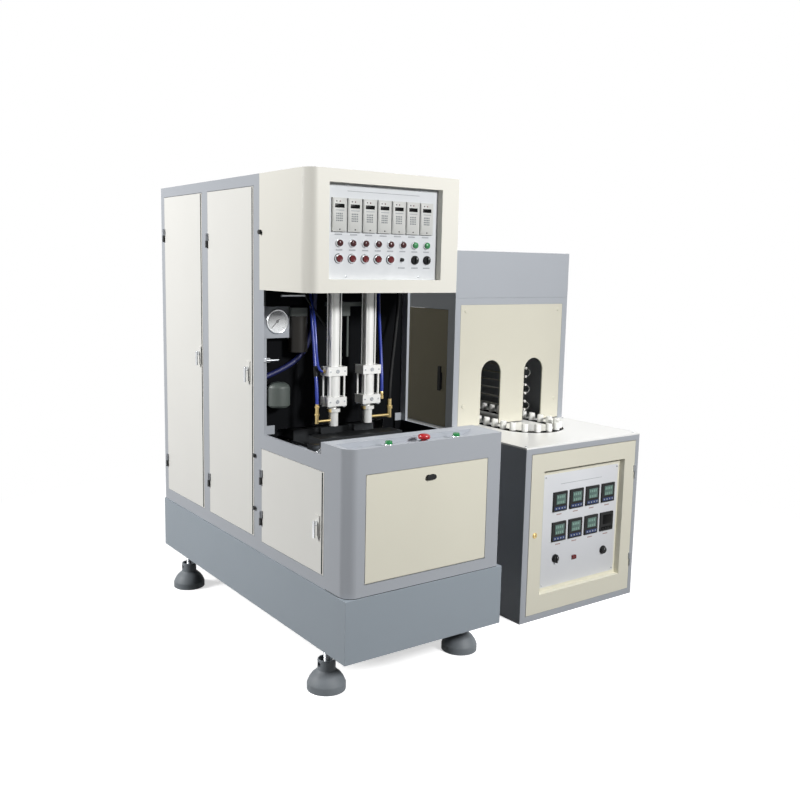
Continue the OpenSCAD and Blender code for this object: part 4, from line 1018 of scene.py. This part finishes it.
@dataclass
class Bay:
    """The open moulding bay: cylinders, nozzles, mould, clamp and air service."""

    middle: float = 345.0
    cavity: float = 82.0
    # Depth of the parting plane, of the valve block and height of the hoses' upper ends
    parting: float = 510.0
    back: float = 619.0
    top: float = 1498.0
    gauge_place: Point = (62.0, 609.0, 1337.0)

    def housing(self) -> None:
        """Dresses the bay's frame, its low door and the beam."""
        piece = from_cad("bay_frame", GREY, 1.5, cuts=[(BLOWER.at(0, 0, 889), (0, 0, 1))])
        # The frame's faces inside, below the bay's floor, take the near-black finish: painted shade of the dark
        # interior, partly dark paint
        BLOWER.patch(piece, (16.9, 150, 405), (698.1, 645, 888.9), DARK_PAINT_AND_SHADE)
        fix("bay_frame", "machine", "grey_paint", piece)
        Cabinet().door("low_side_door", "door_low", 633, (716, 549))
        LeverLock("low_lock", "lock_low", (5, 198, 637), 18, 47).build()
        plain("cylinder_beam", CAST_HEAD, 1.0, "machine", "bright_steel")

    def cylinders(self) -> None:
        """Dresses the two cylinder stacks and adds their nuts, ports and screws."""
        parts = [from_cad("blow_cylinders", ANODISED, 1.2)]
        port = [(8, 0), (8, 1.5), (7, 2.5), (4, 2.5), (3.6, 0.8)]
        y = self.parting
        for x in (self.middle - self.cavity, self.middle + self.cavity):
            parts += [BLOWER.nut((x + i, y + j, 1004), 6.5, 5, STEEL, Axis.DOWN)
                      for i in (-33, 33) for j in (-25.7, 25.7)]
            for z in (1022, 1143):
                parts.append(BLOWER.turned((x, y - 30, z), port, STEEL, Axis.FRONT, 20))
                parts += [BLOWER.screw((x + i, y - 30, z), Axis.FRONT, STEEL, 3.5)
                          for i in (-33, 33)]
        fix("blow_cylinders", "machine", "cylinder_aluminium", *parts)

    def nozzles(self) -> None:
        """Dresses the nozzles and the stretch rods."""
        for side, sign in (("left", -1), ("right", 1)):
            x = self.middle + sign * self.cavity
            piece = from_cad("blow_nozzle_" + side, ANODISED, 0.8)
            for low, high in ((x - 130, x - 20), (x + 20, x + 130)):
                BLOWER.patch(piece, (low, 490, 900), (high, 530, 1090), BRASS)
            fix("blow_nozzle_" + side, "nozzle_" + side, "white_plastic", piece)
            plain("stretch_rod_" + side, CHROME, 0.3, "stretch_" + side, "hard_chrome")

    def clamp(self) -> None:
        """Dresses the mould, the platens, the tie bars and the clamp cylinder."""
        for node, finish, edge, body, slot in (
            ("front_mould_half", MOULD_METAL, 0.8, "machine", "mould_aluminium"),
            ("rear_mould_half", MOULD_METAL, 0.8, "clamp", "mould_aluminium"),
            ("fixed_platens", OILED_STEEL, 1.5, "machine", "bright_steel"),
            ("moving_platen", OILED_STEEL, 1.2, "clamp", "bright_steel"),
            ("tie_bars", CHROME, 0.8, "machine", "hard_chrome"),
            ("clamp_cylinder", ANODISED, 1.5, "machine", "cylinder_aluminium"),
        ):
            plain(node, finish, edge, body, slot)

    def air_service(self) -> None:
        """Dresses the gauge's plate, the tank, the filter, the stop and the manifold."""
        panel = from_cad("air_panel", GREY, 1.0)
        # The first and the last box take the near-black finish: painted shadow under the head, over the gauge plate
        # and along the top of the bay
        for low, high, finish in (
            ((0, 590, 1397), (166, 640, 1470), DARK_PAINT_AND_SHADE),
            ((60, 585, 1430), (176, 597.9, 1446), STEEL),
            ((4, 588, 1178), (62, 614, 1197), STEEL),
            ((15, 555, 998), (113, 652, 1102), CAST_HEAD),
            ((113, 568, 1212), (196, 652, 1356), BOWL),
            ((108, 580, 1356.5), (188, 652, 1391), CAST_HEAD),
            ((145, 580, 1490), (680, 652, 1540), DARK_PAINT_AND_SHADE),
        ):
            BLOWER.patch(panel, low, high, finish)
        fix("air_panel", "machine", "grey_paint", panel)

    def gauge(self) -> None:
        """Makes the pressure gauge with its dial, marks and glass, and its needle."""
        x, y, z = self.gauge_place

        def disc(front: float, radius: float, height: float, finish: Finish,
                 sides: int = 56) -> Obj:
            """Makes a round part that begins this far in front of the case's foot."""
            return BLOWER.turned((x, y - front, z), [(radius, 0), (radius, height)],
                                 finish, Axis.FRONT, sides)

        case = BLOWER.turned(
            (x, y, z),
            [(44, -26), (44, 0), (47.4, 0), (48, 0.8), (48, 4.4), (46.8, 6.4), (45, 7),
             (43.5, 6.6), (43.5, 0.4)],
            CHROME, Axis.FRONT, 56)
        parts = [case, disc(0.5, 43.4, 0.4, DIAL_WHITE), disc(0.5, 1.5, 4.5, STEEL, 16)]
        for i in range(41):
            # Every eighth mark is long and wide. The scale sweeps 270 degrees
            length, width = (8, 0.7) if i % 8 == 0 else (4, 0.35)
            mark = BLOWER.block((x - width, y - 1.15, z + 40 - length),
                                (x + width, y - 0.85, z + 40), BLACK_ABS, 0)
            hold(mark)
            bpy.ops.transform.rotate(value=math.radians(135 - 270 * i / 40),
                                     orient_axis="Y",
                                     center_override=BLOWER.at(x, y, z))
            parts.append(settle(mark))
        fix("pressure_gauge", "machine", "black_paint", *parts,
            disc(5.4, 43.6, 0.8, CLEAR_GLASS))
        plain("gauge_needle", BLACK_ABS, 0.2, "needle", "black_paint")

    def sleeve(
        self, points: Sequence[Point], start: float, end: float, radius: float,
        finish: Finish,
    ) -> Obj:
        """Puts a short sleeve round a part of a hose.

        Args:
            points: the hose's start, two control points and end.
            start: share of the way at which the sleeve begins.
            end: share of the way at which it ends.
            radius: its radius.
            finish: its finish.

        Returns:
            The sleeve.
        """
        def middle(*shares: float) -> Point:
            """Blends the four points, one share for each step of the curve."""
            layer = [Vector(p) for p in points]
            for share in shares:
                layer = [a.lerp(b, share) for a, b in zip(layer, layer[1:])]
            return tuple(layer[0])

        part = [middle(start, start, start), middle(start, start, end),
                middle(start, end, end), middle(end, end, end)]
        return BLOWER.hose("sleeve", part, radius, finish, 4)

    def hoses(self) -> None:
        """Draws the hoses that run from the valve block to the cylinders."""
        left, right = self.middle - self.cavity, self.middle + self.cavity
        y, back, top = self.parting, self.back, self.top
        fixed = (
            (5.0, BLUE_HOSE, ((left - 51, y, 1143), (left - 103, y, 1143),
                              (left - 63, y - 5, 1330), (left - 63, back, top - 13))),
            (7.0, BLUE_HOSE, ((right + 70, y, 1046), (right + 70, y, 1180),
                              (right + 121, back, 1340), (right + 121, back, top))),
            (5.0, BLACK_HOSE, ((left - 91, back, top - 13), (left - 91, back - 29, 1400),
                               (left + 33, y + 22, 1300), (left + 33, y + 22, 1161))),
            (11.0, BUNDLE_BLUE, ((left - 26, back, top), (left - 26, back, 1215),
                                 (left - 60, back + 11, 1180), (17, back + 11, 1118))),
        )
        elbow = [(6, 0), (8, 1.5), (8, 15), (6.4, 16.5), (6.4, 20), (7.6, 21), (7.6, 30),
                 (6.6, 32)]
        fix("air_hoses", "machine", "blue_hose",
            *(BLOWER.hose("hose_%d" % i, points, radius, finish)
              for i, (radius, finish, points) in enumerate(fixed)),
            *(BLOWER.nut((x, back, top - 16), 7, 16, BRASS)
              for x in (left - 91, left - 63)),
            BLOWER.nut((left - 43, y, 1143), 8, 9, BRASS, Axis.LEFT),
            BLOWER.nut((right + 43, y, 1022), 8.5, 9, BRASS, Axis.RIGHT),
            BLOWER.turned((right + 52, y, 1022), [(5.5, 0), (5.5, 18)], BRASS,
                          Axis.RIGHT, 20),
            BLOWER.turned((right + 70, y, 1014), elbow, BRASS, sides=24))
        for side, finish, points in (
            ("left", BLUE_HOSE, ((left - 77, y, 1014), (left - 77, y, 1130),
                                 (left - 48, back, 1370), (left - 48, back, top))),
            ("right", BLACK_HOSE, ((right + 110, y, 1012), (right + 110, y, 1150),
                                   (right + 228, back, 1330), (right + 228, back, top))),
        ):
            parts = [BLOWER.hose("blow_hose_" + side, points, 7, finish, 40)]
            if side == "left":
                parts.append(self.sleeve(points, 0.25, 0.33, 9.5, BLACK_HOSE))
            hose = join("blow_hose_" + side, parts)
            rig.blend(hose, "machine", "nozzle_" + side,
                     start=BLOWER.at(points[3][0], back, 1300), end=BLOWER.at(*points[0]))
            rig.slot(hose, "blue_hose")
            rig.replaces(hose, "air_hoses")
            LOG.info("piece %s bends with nozzle_%s", hose.name, side)

    def build(self) -> None:
        """Builds the bay."""
        self.housing()
        self.cylinders()
        self.nozzles()
        self.clamp()
        self.air_service()
        self.gauge()
        self.hoses()


@dataclass
class Console:
    """The operator's console with its tray, buttons and drop-down door."""

    tray: float = 918.0
    button_y: float = 63.0
    starts: tuple[tuple[str, float], ...] = (("left", 217.0), ("right", 530.0))
    stop_x: float = 377.0

    def housing(self) -> None:
        """Dresses the housing and its door."""
        # The lowest 2.4 mm are the dark joint between the console and the base
        shell = from_cad("console_shell", GREY, 2.0,
                         cuts=[(BLOWER.at(0, 0, 404.4), (0, 0, 1))])
        BLOWER.patch(shell, (0, 0, 400), (712, 150, 404.3), BLACK_ENAMEL)
        fix("console_shell", "machine", "grey_paint", shell)
        plain("console_door", WARM_CREAM, 1.2, "door_console", "cream_paint")
        OvalLock().build()

    def buttons(self) -> None:
        """Makes the two start buttons and the emergency stop."""
        cap = [(10.9, -15), (10.9, 4.5), (13, 4.5), (13, 20), (12.4, 22), (10.5, 23),
               (9.5, 23), (9, 22.2)]
        for side, x in self.starts:
            fix("start_button_" + side, "start_" + side, "green_plastic",
                BLOWER.turned((x, self.button_y, self.tray), cap, GREEN_CAP, sides=36))
        mushroom = [(8.9, -15), (8.9, 14), (18, 14.6), (21.4, 17), (22.5, 20.5),
                    (22.5, 26), (20.6, 29.4), (15.6, 31.8), (9, 33)]
        fix("emergency_stop", "stop", "red_plastic",
            BLOWER.turned((self.stop_x, self.button_y, self.tray), mushroom, STOP_RED,
                          sides=40))

    def build(self) -> None:
        """Builds the console."""
        self.housing()
        self.buttons()


@dataclass
class Head:
    """The instrument head: cover, sunken plate, timers, lamps and buttons."""

    plate_y: float = 313.0
    timer_x: float = 122.0
    timer_pitch: float = 66.6
    timers: int = 7
    lamp_x: float = 156.0
    lamp_pitch: float = 57.4
    lamp_z: float = 1639.0
    lamps_in_row: int = 8
    red_lamps: int = 6
    button_x: float = 154.0
    button_pitch: float = 57.8
    button_z: float = 1583.0
    buttons: int = 5
    selectors: tuple[float, ...] = (503.0, 561.0)
    fuse_x: float = 440.0

    def front(self, x: float, z: float, profile: Profile,
              finish: Finish, sides: int = 40) -> Obj:
        """Makes a turned piece that stands out of the plate.

        Args:
            x: its place to the right.
            z: its height.
            profile: radius and height of each step, in millimetres.
            finish: its finish.
            sides: sides of the disc.

        Returns:
            The turned piece.
        """
        return BLOWER.turned((x, self.plate_y, z), profile, finish, Axis.FRONT, sides)

    def button_row(self) -> list[float]:
        """Gives the places of the push buttons.

        Returns:
            Their distances to the right.
        """
        return [self.button_x + i * self.button_pitch for i in range(self.buttons)]

    def housing(self) -> None:
        """Dresses the cover and the plate, with its screws and label strips."""
        cover = from_cad("head_cover", HEAD_CREAM, 2.5, rounds=3)
        BLOWER.patch(cover, (-20, 620, 1660), (4.8, 650, 1700), BLACK_ABS)
        fix("head_cover", "machine", "cream_paint", cover)
        parts = [from_cad("instrument_plate", PLATE_WHITE, 0.4)]
        parts += [BLOWER.screw((x, self.plate_y, z), Axis.FRONT, STEEL, 4)
                  for x in (187, 522) for z in (1518, 1848)]
        # Left end, foot, width and height of each label strip
        strips = [(self.timer_x + i * self.timer_pitch + 14, 1668, 32, 5)
                  for i in range(self.timers)]
        strips += [(self.lamp_x + i * self.lamp_pitch - 14, 1612, 28, 5)
                   for i in range(self.lamps_in_row)]
        strips += [(x - 16, 1550, 32, 5) for x in (*self.selectors, self.fuse_x)]
        for x, z, wide, tall in (*strips, (190, 1826, 330, 2)):
            parts.append(BLOWER.block((x, self.plate_y - 0.8, z),
                                      (x + wide, self.plate_y, z + tall), LABEL, 0.3))
        fix("instrument_plate", "machine", "white_plate", *parts)

    def timer_row(self) -> None:
        """Models one timer with its window, keys and screw, and copies it."""
        x, y = self.timer_x, self.plate_y
        back = from_cad("timer_modules", GREY_ABS, 1.2, "timer_bodies")
        parts = [
            BLOWER.block((x + 3.5, y - 10.2, 1684), (x + 56.5, y - 8.5, 1797), GREY_ABS,
                         0.5),
            BLOWER.block((x + 9, y - 11.4, 1765), (x + 49, y - 9.4, 1779), SMOKED, 0.5),
            BLOWER.screw((x + 30, y - 10, 1688), Axis.FRONT, BLACK_ABS, 2.6),
        ]
        for i, finish in enumerate((BLACK_ABS, RED_CAP)):
            parts.append(BLOWER.turned((x + 16 + 14 * i, y - 10, 1788),
                                       [(2.4, 0), (2.4, 1), (1.6, 1.8)], finish,
                                       Axis.FRONT, 12))
        for kx in (x + 17 + 7.4 * column for column in range(4)):
            for kz in (1744 - 8.2 * row for row in range(4)):
                parts.append(BLOWER.block((kx - 2.6, y - 11, kz - 2.6),
                                          (kx + 2.6, y - 10, kz + 2.6), KEY_GREY, 0.4))
        parts.append(BLOWER.block((x + 12, y - 10.8, 1755), (x + 48, y - 10, 1758), LABEL,
                                  0.2))
        one = join("timer_face", parts)
        shifts = [(i * self.timer_pitch, 0, 0) for i in range(1, self.timers)]
        fix("timer_modules", "machine", "white_plastic", back,
            *BLOWER.copies(one, shifts))

    def lamps(self) -> None:
        """Makes the pilot lamps: six red and two green."""
        collar = [(11, -34), (11, 0), (14.4, 0), (15, 0.8), (15, 4.4), (14, 5.6),
                  (12.6, 5.8), (12.4, 4)]
        dome = [(12.2, 3.5), (12.2, 9), (11.4, 11.4), (9, 13.2), (5, 14.3), (1, 14.5)]
        parts = []
        for i in range(self.lamps_in_row):
            x = self.lamp_x + i * self.lamp_pitch
            lens = RED_LENS if i < self.red_lamps else GREEN_CAP
            parts += [self.front(x, self.lamp_z, collar, CHROME, 32),
                      self.front(x, self.lamp_z, dome, lens, 32)]
        fix("pilot_lamps", "machine", "red_plastic", *parts)

    def bezels(self) -> None:
        """Makes the rings round the buttons, and the fuse knob."""
        # A ring stands 7 mm out of the plate, a collar 12 mm out of the tray
        ring, collar = (
            [(13.4, -21), (13.4, 0), (17, 0), (17, rim), (16, tall), (13.4, tall),
             (13.2, tall - 1), (13.2, -0.6), (11.1, -0.6), (11.1, -20)]
            for rim, tall in ((5.2, 7), (10, 12))
        )
        # A thin black ring lies round the foot of each button ring
        dark_rim = [(17.1, 0), (18.2, 0), (18.2, 1.6), (17.1, 1.8)]
        fuse = [(7.5, 0), (7.5, 3), (6.4, 4), (6.4, 9.5), (5.4, 11), (2, 11)]
        foot = [(19, 0), (20, 1), (20, 6.5), (18, 8), (9.2, 8), (9.1, 0.5)]
        z, console = self.button_z, Console()
        parts = []
        for x in self.button_row():
            parts += [self.front(x, z, ring, CHROME), self.front(x, z, dark_rim, BLACK_ABS)]
        parts += [self.front(x, z, ring, BLACK_ABS) for x in self.selectors]
        parts.append(self.front(self.fuse_x, z, fuse, BLACK_ABS, 24))
        y, tray = console.button_y, console.tray
        parts += [BLOWER.turned((x, y, tray), collar, CHROME, sides=40)
                  for _, x in console.starts]
        parts.append(BLOWER.turned((console.stop_x, y, tray), foot, BLACK_ABS, sides=40))
        fix("control_bezels", "machine", "black_plastic", *parts)

    def caps(self) -> None:
        """Makes the moving caps and the selector knobs."""
        z, y = self.button_z, self.plate_y
        cap = [(10.9, -15), (10.9, 4), (13, 4), (13, 10.6), (12, 12.4), (10.6, 12.5),
               (9.6, 11.6), (5, 10.8)]
        knob = [(10.9, -15), (10.9, 0.3), (13, 0.3), (13, 8), (12, 9.3)]
        for i, x in enumerate(self.button_row(), 1):
            fix("push_button_%d" % i, "button_%d" % i, "red_plastic",
                self.front(x, z, cap, RED_CAP, 36))
        for i, x in enumerate(self.selectors, 1):
            fix("selector_%d" % i, "select_%d" % i, "black_plastic",
                self.front(x, z, knob, BLACK_ABS, 36),
                BLOWER.block((x - 4, y - 17, z - 13), (x + 4, y - 8, z + 13), BLACK_ABS,
                             1.6, 0.2, 3),
                BLOWER.block((x - 0.7, y - 17.4, z + 3), (x + 0.7, y - 16.8, z + 10),
                             DIAL_WHITE, 0.1))

    def build(self) -> None:
        """Builds the head."""
        self.housing()
        self.timer_row()
        self.lamps()
        self.bezels()
        self.caps()


# ---- the preform heater ----


@dataclass
class HeaterBox:
    """The heater's housing, its door, controllers and switches."""

    plate_y: float = 30.0
    columns: tuple[float, ...] = (202.0, 308.0, 414.0, 520.0)
    rows: tuple[float, ...] = (477.0, 337.0)
    hinges: tuple[float, ...] = (610.0, 179.0)

    def housing(self) -> None:
        """Dresses the housing and the door with its white plate."""
        body = from_cad("heater_body", GREY, 1.5)
        # The body's inside takes the near-black finish: painted shade, partly dark paint
        HEATER.patch(body, (12.6, 18.6, 12.6), (726, 1400, 791), DARK_PAINT_AND_SHADE)
        fix("heater_body", "machine", "cream_paint", body)
        door = from_cad("heater_door", WARM_CREAM, 1.2)
        for z in self.hinges:
            HEATER.patch(door, (680, -14, z - 3), (725, -0.1, z + 33), GREY)
        face = self.plate_y - 1.6
        plate = HEATER.block((144, face, 130), (631, self.plate_y, 652), HEATER_PLATE, 0.4)
        screws = [HEATER.screw((x, face, z), Axis.FRONT, STEEL, 4)
                  for x in (154, 621) for z in (142, 640)]
        strips = [
            HEATER.block((x + 28, face - 0.6, z - 18), (x + 60, face, z - 13), RED_LABEL,
                         0.2)
            for x in self.columns for z in self.rows
        ]
        title = HEATER.block((250, face - 0.6, 600), (520, face, 602), LABEL, 0.2)
        fix("heater_door", "door_heater", "cream_paint", door, plate, *screws, *strips,
            title)
        KeyLock().build()

    def controller_face(self, x: float, z: float, dark: bool) -> list[Obj]:
        """Models one controller's window, its key strip and its digits.

        Args:
            x: left edge of the controller.
            z: its lower edge.
            dark: whether it is switched off.

        Returns:
            The parts of its face.
        """
        y = self.plate_y - 9
        screen, strip, key = (
            (SMOKED, SMOKED, BLACK_ABS) if dark else (LIQUID_CRYSTAL, BLUE_KEYS, LABEL)
        )
        parts = [
            HEATER.block((x + 17, y - 1, z + 33), (x + 75, y + 1, z + 78), screen, 0.6),
            HEATER.block((x + 8, y - 1, z + 7), (x + 80, y + 1, z + 21), strip, 0.6),
        ]
        for k in range(4):
            left = x + 14 + 18 * k
            parts.append(HEATER.block((left, y - 2, z + 11), (left + 7, y, z + 17), key,
                                      0.8))
            left = x + 23 + 12 * k
            parts += [
                HEATER.block((left, y - 1.3, z + foot), (left + 6, y - 0.9, z + foot + 11),
                             LIT_DIGITS, 0)
                for foot in (() if dark else (36, 61))
            ]
        return parts

    def controller_bank(self) -> None:
        """Dresses the controllers; the last one is dark."""
        parts = [from_cad("controllers", BLACK_ABS, 2.0, "controller_bodies")]
        last = (self.columns[-1], self.rows[-1])
        for x in self.columns:
            for z in self.rows:
                parts += self.controller_face(x, z, (x, z) == last)
        fix("controllers", "door_heater", "black_plastic", *parts)

    def dial(self, x: float, z: float, radius: float, pointer: bool) -> list[Obj]:
        """Models a turning knob.

        Args:
            x: its place to the right.
            z: its height.
            radius: its radius.
            pointer: whether it has a pointer bar.

        Returns:
            The knob's parts.
        """
        y = self.plate_y
        grip = [(radius, 1.8), (radius, 7), (radius * 0.94, 8.2), (radius * 0.8, 8.4),
                (radius * 0.76, 15), (radius * 0.68, 16)]
        parts = [
            HEATER.turned((x, y, z), [(4, -8), (4, 2)], STEEL, Axis.FRONT, 20),
            HEATER.turned((x, y + 12, z), [(9, 0), (9, 7.8)], STEEL, Axis.FRONT, 20),
            HEATER.turned((x, y, z), grip, BLACK_ABS, Axis.FRONT, 36),
        ]
        if pointer:
            parts.append(HEATER.block((x - 4, y - 20, z - radius),
                                      (x + 4, y - 8, z + radius), BLACK_ABS, 1.6, 0.15, 3))
        front, back = (20.4, 19.6) if pointer else (16.4, 15.8)
        mark = HEATER.block((x - 0.8, y - front, z + 3),
                            (x + 0.8, y - back, z + radius * 0.6), DIAL_WHITE, 0.1)
        return [*parts, mark]

    def switches(self) -> None:
        """Makes the knob, the pointer switch and the rocker."""
        fix("heater_knob", "knob_heater", "black_plastic",
            *self.dial(552, 243, 20, False))
        fix("heater_switch", "switch_heater", "black_plastic",
            *self.dial(232, 257, 19, True))
        plain("heater_rocker", RED_CAP, 0.8, "rocker_heater", "red_plastic")

    def build(self) -> None:
        """Builds the heater's lower part."""
        self.housing()
        self.controller_bank()
        self.switches()


@dataclass
class Oven:
    """The table with its carrier loop, and the oven over it."""

    banks: tuple[float, float] = (181.0, 495.0)
    bank_ends: tuple[float, float] = (551.0, 1353.0)
    table: float = 795.0
    hinges: tuple[float, ...] = (1240.0, 900.0)
    wires: int = 7
    lamp_pitch: float = 42.0

    def table_and_loop(self) -> None:
        """Dresses the table and the loop of preform carriers."""
        table = from_cad("heater_table", STAINLESS, 0.8)
        # The slot's walls under the table take the near-black finish: painted shade in the slot
        HEATER.patch(table, (200, 200, self.table - 50), (560, 1420, self.table - 1.2),
                     DARK_PAINT_AND_SHADE)
        screws = [HEATER.screw((x, y, self.table), Axis.UP, STEEL, 5)
                  for x in (20, 719) for y in (24, 480)]
        fix("heater_table", "machine", "stainless", table, *screws)
        loop = from_cad("carrier_loop", STEEL, 0.5)
        # Painted shade: dark bands up to the table, where the loop runs in the shaded slot; white cups over it
        for low, high, finish in ((700, self.table + 2.2, DARK_PAINT_AND_SHADE),
                                  (self.table + 2.3, 840, WHITE_ABS)):
            HEATER.patch(loop, (200, 200, low), (600, 1500, high), finish)
        fix("carrier_loop", "machine", "white_plastic", loop)

    def housing(self) -> None:
        """Dresses the oven's housing, front panel and side door."""
        plain("oven_shell", GREY, 1.5, "machine", "grey_paint")
        plain("oven_front_panel", OVEN_CREAM, 1.0, "machine", "cream_paint")
        # The side door takes the darkened cream: painted shade between the machines
        door = from_cad("oven_side_door", SHADED_DOOR_CREAM, 1.2)
        for z in self.hinges:
            HEATER.patch(door, (-14, 1330, z - 3), (-0.1, 1370, z + 33), GREY)
        HEATER.patch(door, (-12, 590, 960), (-0.1, 640, 1095), BLACK_ABS)
        fix("oven_side_door", "door_oven", "grey_paint", door)

    def lamps(self) -> None:
        """Dresses the lamp banks, darkens their ends with painted shade and adds the wires of the right row's front
        ends.
        """
        bank = from_cad("oven_lamps", CERAMIC, 0.6)
        HEATER.patch(bank, (150, 576, 840), (620, 1331, 1110), QUARTZ)
        # The banks' front faces and edges at each end take the near-black finish: painted shade inside the arches
        for x in self.banks:
            for y in self.bank_ends:
                low, high = y - 1, y + 7
                HEATER.patch(bank, (x - 10, low, 790), (x + 10, high, 1160), DARK_PAINT_AND_SHADE,
                             (0, -1, 0))
                for edge in (x - 9, x + 9):
                    HEATER.patch(bank, (edge - 0.7, low, 790), (edge + 0.7, high, 1160),
                                 DARK_PAINT_AND_SHADE)
        x = self.banks[1]
        parts = [bank]
        for i in range(self.wires):
            z = 850 + self.lamp_pitch * i
            # Each wire leads to the middle between its lamp and a neighbour
            end = z + (-1) ** i * self.lamp_pitch / 2
            points = ((x, 529, z), (x + 3, 519, z), (x + 24, 516, end), (x + 22, 530, end))
            parts.append(HEATER.hose("lamp_wire", points, 1.2, WIRE_GREY, 12))
        fix("oven_lamps", "machine", "lamp_ceramic", *parts)

    def build(self) -> None:
        """Builds the oven."""
        self.table_and_loop()
        self.housing()
        self.lamps()


# ---- the studio ----


def rays_that_look(tree: Tree) -> tuple[bpy.types.NodeSocket, bpy.types.NodeSocket]:
    """Adds the nodes that tell rays which look from rays which throw light.

    Args:
        tree: the node tree.

    Returns:
        The socket of the camera's rays, and one for these, the glossy and the
        transmitted ones together.
    """
    path = add_node(tree, "LightPath").outputs
    seen = path["Is Camera Ray"]
    for kind in ("Is Glossy Ray", "Is Transmission Ray"):
        seen = add_node(tree, "Math", {"operation": "MAXIMUM"},
                        {0: seen, 1: path[kind]}).outputs[0]
    return path["Is Camera Ray"], seen


@dataclass
class Studio:
    """Camera, lamps, floor and background."""

    eye_mm: Point = (-2511.6, -3313.7, 1563.0)
    azimuth: float = -0.611
    elevation: float = 0.145
    roll: float = 0.018
    focal_px: float = 897.278
    centre_px: tuple[float, float] = (378.65, 395.778)
    picture_px: float = 800.0
    sensor_mm: float = 36.0
    # Name, place, target, width and watts of each lamp
    lamps: tuple[tuple[str, Point, Point, float, float], ...] = (
        ("left", (-5.4, 2.1, 3.3), (-0.9, -0.1, 1.1), 1.8, 330.0),
        ("front", (0.55, -5.0, 3.1), (-0.1, -0.6, 1.2), 0.7, 240.0),
        ("top", (0.45, -0.8, 4.3), (0.0, -0.7, 0.8), 0.5, 62.0),
    )

    def camera(self) -> None:
        """Sets the camera at the photograph's place."""
        az, el = self.azimuth, self.elevation
        ahead = Vector((math.sin(-az) * math.cos(el), math.cos(az) * math.cos(el),
                        -math.sin(el)))
        level = Vector((math.cos(az), math.sin(az), 0))
        upright = level.cross(ahead)
        right = math.cos(self.roll) * level + math.sin(self.roll) * upright
        up = -math.sin(self.roll) * level + math.cos(self.roll) * upright
        data = bpy.data.cameras.new("camera")
        data.sensor_width = self.sensor_mm
        data.lens = self.focal_px * self.sensor_mm / self.picture_px
        data.shift_x = (self.picture_px / 2 - self.centre_px[0]) / self.picture_px
        data.shift_y = -(self.picture_px / 2 - self.centre_px[1]) / self.picture_px
        data.clip_end = 60
        obj = new_object("camera", data)
        turn = Matrix((right, up, -ahead)).transposed().to_4x4()
        obj.matrix_world = Matrix.Translation(Vector(self.eye_mm) / MM) @ turn
        bpy.context.scene.camera = obj

    def lights(self) -> None:
        """Adds the soft lamps and the plain world."""
        for name, place, target, width, watts in self.lamps:
            data = bpy.data.lights.new(name, "AREA")
            data.shape = "SQUARE"
            data.size = width
            data.energy = watts
            obj = new_object(name, data)
            obj.location = place
            way = Vector(target) - Vector(place)
            obj.rotation_euler = way.to_track_quat("-Z", "Y").to_euler()
        world = bpy.data.worlds.new("studio world")
        bpy.context.scene.world = world
        tree = empty_tree(world)
        _, looks = rays_that_look(tree)
        dim = add_node(tree, "Background",
                       {"Color": (0.95, 0.97, 1.0, 1.0), "Strength": 0.05})
        white = add_node(tree, "Background",
                         {"Color": (1.0, 1.0, 1.0, 1.0), "Strength": 1.0})
        mixed = add_node(tree, "MixShader", {},
                         {0: looks, 1: dim.outputs[0], 2: white.outputs[0]})
        add_node(tree, "OutputWorld", {}, {"Surface": mixed.outputs[0]})

    def floor(self) -> None:
        """Lays the pale floor, which keeps the shadow."""
        bare()
        bpy.ops.mesh.primitive_plane_add(size=60, location=(0, 0, 0))
        plane = settle(active())
        plane.name = "studio_floor"
        made = bpy.data.materials.new("white studio floor")
        tree = empty_tree(made)
        camera, looks = rays_that_look(tree)
        # Pale where it is looked at; where it only throws light back it is a dark floor
        dark, pale = (0.05, 0.05, 0.05, 1), (0.9, 0.9, 0.9, 1)
        tone = add_node(tree, "Mix", {"data_type": "RGBA", 6: dark, 7: pale},
                        {"Factor": looks})
        shy = add_node(tree, "Math", {"operation": "MULTIPLY", 1: 0.28}, {0: looks})
        glow = add_node(tree, "Math", {"operation": "MULTIPLY_ADD", 1: 0.34},
                        {0: camera, 2: shy.outputs[0]})
        shine = add_node(tree, "Emission", {"Color": (1, 1, 1, 1)},
                         {"Strength": glow.outputs[0]})
        matt = add_node(tree, "BsdfDiffuse", {}, {"Color": tone.outputs[2]})
        both = add_node(tree, "AddShader", {}, {0: matt.outputs[0], 1: shine.outputs[0]})
        # From 1.5 m to 3 m out the floor fades into the white of the backdrop
        spot = add_node(tree, "TexCoord")
        far = add_node(tree, "VectorMath", {"operation": "LENGTH"},
                       {0: spot.outputs["Object"]})
        fade = add_node(tree, "MapRange", {"From Min": 1.5, "From Max": 3.0},
                        {"Value": far.outputs["Value"]})
        part = add_node(tree, "Math", {"operation": "MULTIPLY"},
                        {0: fade.outputs["Result"], 1: looks})
        white = add_node(tree, "Emission", {"Color": (1, 1, 1, 1), "Strength": 1.0})
        ground = add_node(tree, "MixShader", {},
                          {0: part.outputs[0], 1: both.outputs[0], 2: white.outputs[0]})
        add_node(tree, "OutputMaterial", {}, {"Surface": ground.outputs[0]})
        plane.data.materials.append(made)
        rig.stage(plane)

    def build(self) -> None:
        """Sets up the studio."""
        bpy.context.scene.view_settings.view_transform = "Standard"
        self.camera()
        self.lights()
        self.floor()


def main() -> None:
    """Builds the studio and every sub-assembly, in order."""
    logging.basicConfig(level=logging.INFO, format="%(name)s: %(message)s")
    for part in (Studio(), Plinth(), Cabinet(), Bay(), Console(), Head(), HeaterBox(),
                 Oven()):
        LOG.info("building %s", type(part).__name__)
        part.build()
    bare()
    seen = [[round(v, 6) for v in corner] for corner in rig.bounds()]
    with open("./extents.json", "w", encoding="utf-8") as out:
        json.dump([CAD_BOX, seen], out)


if __name__ == "__main__":
    main()
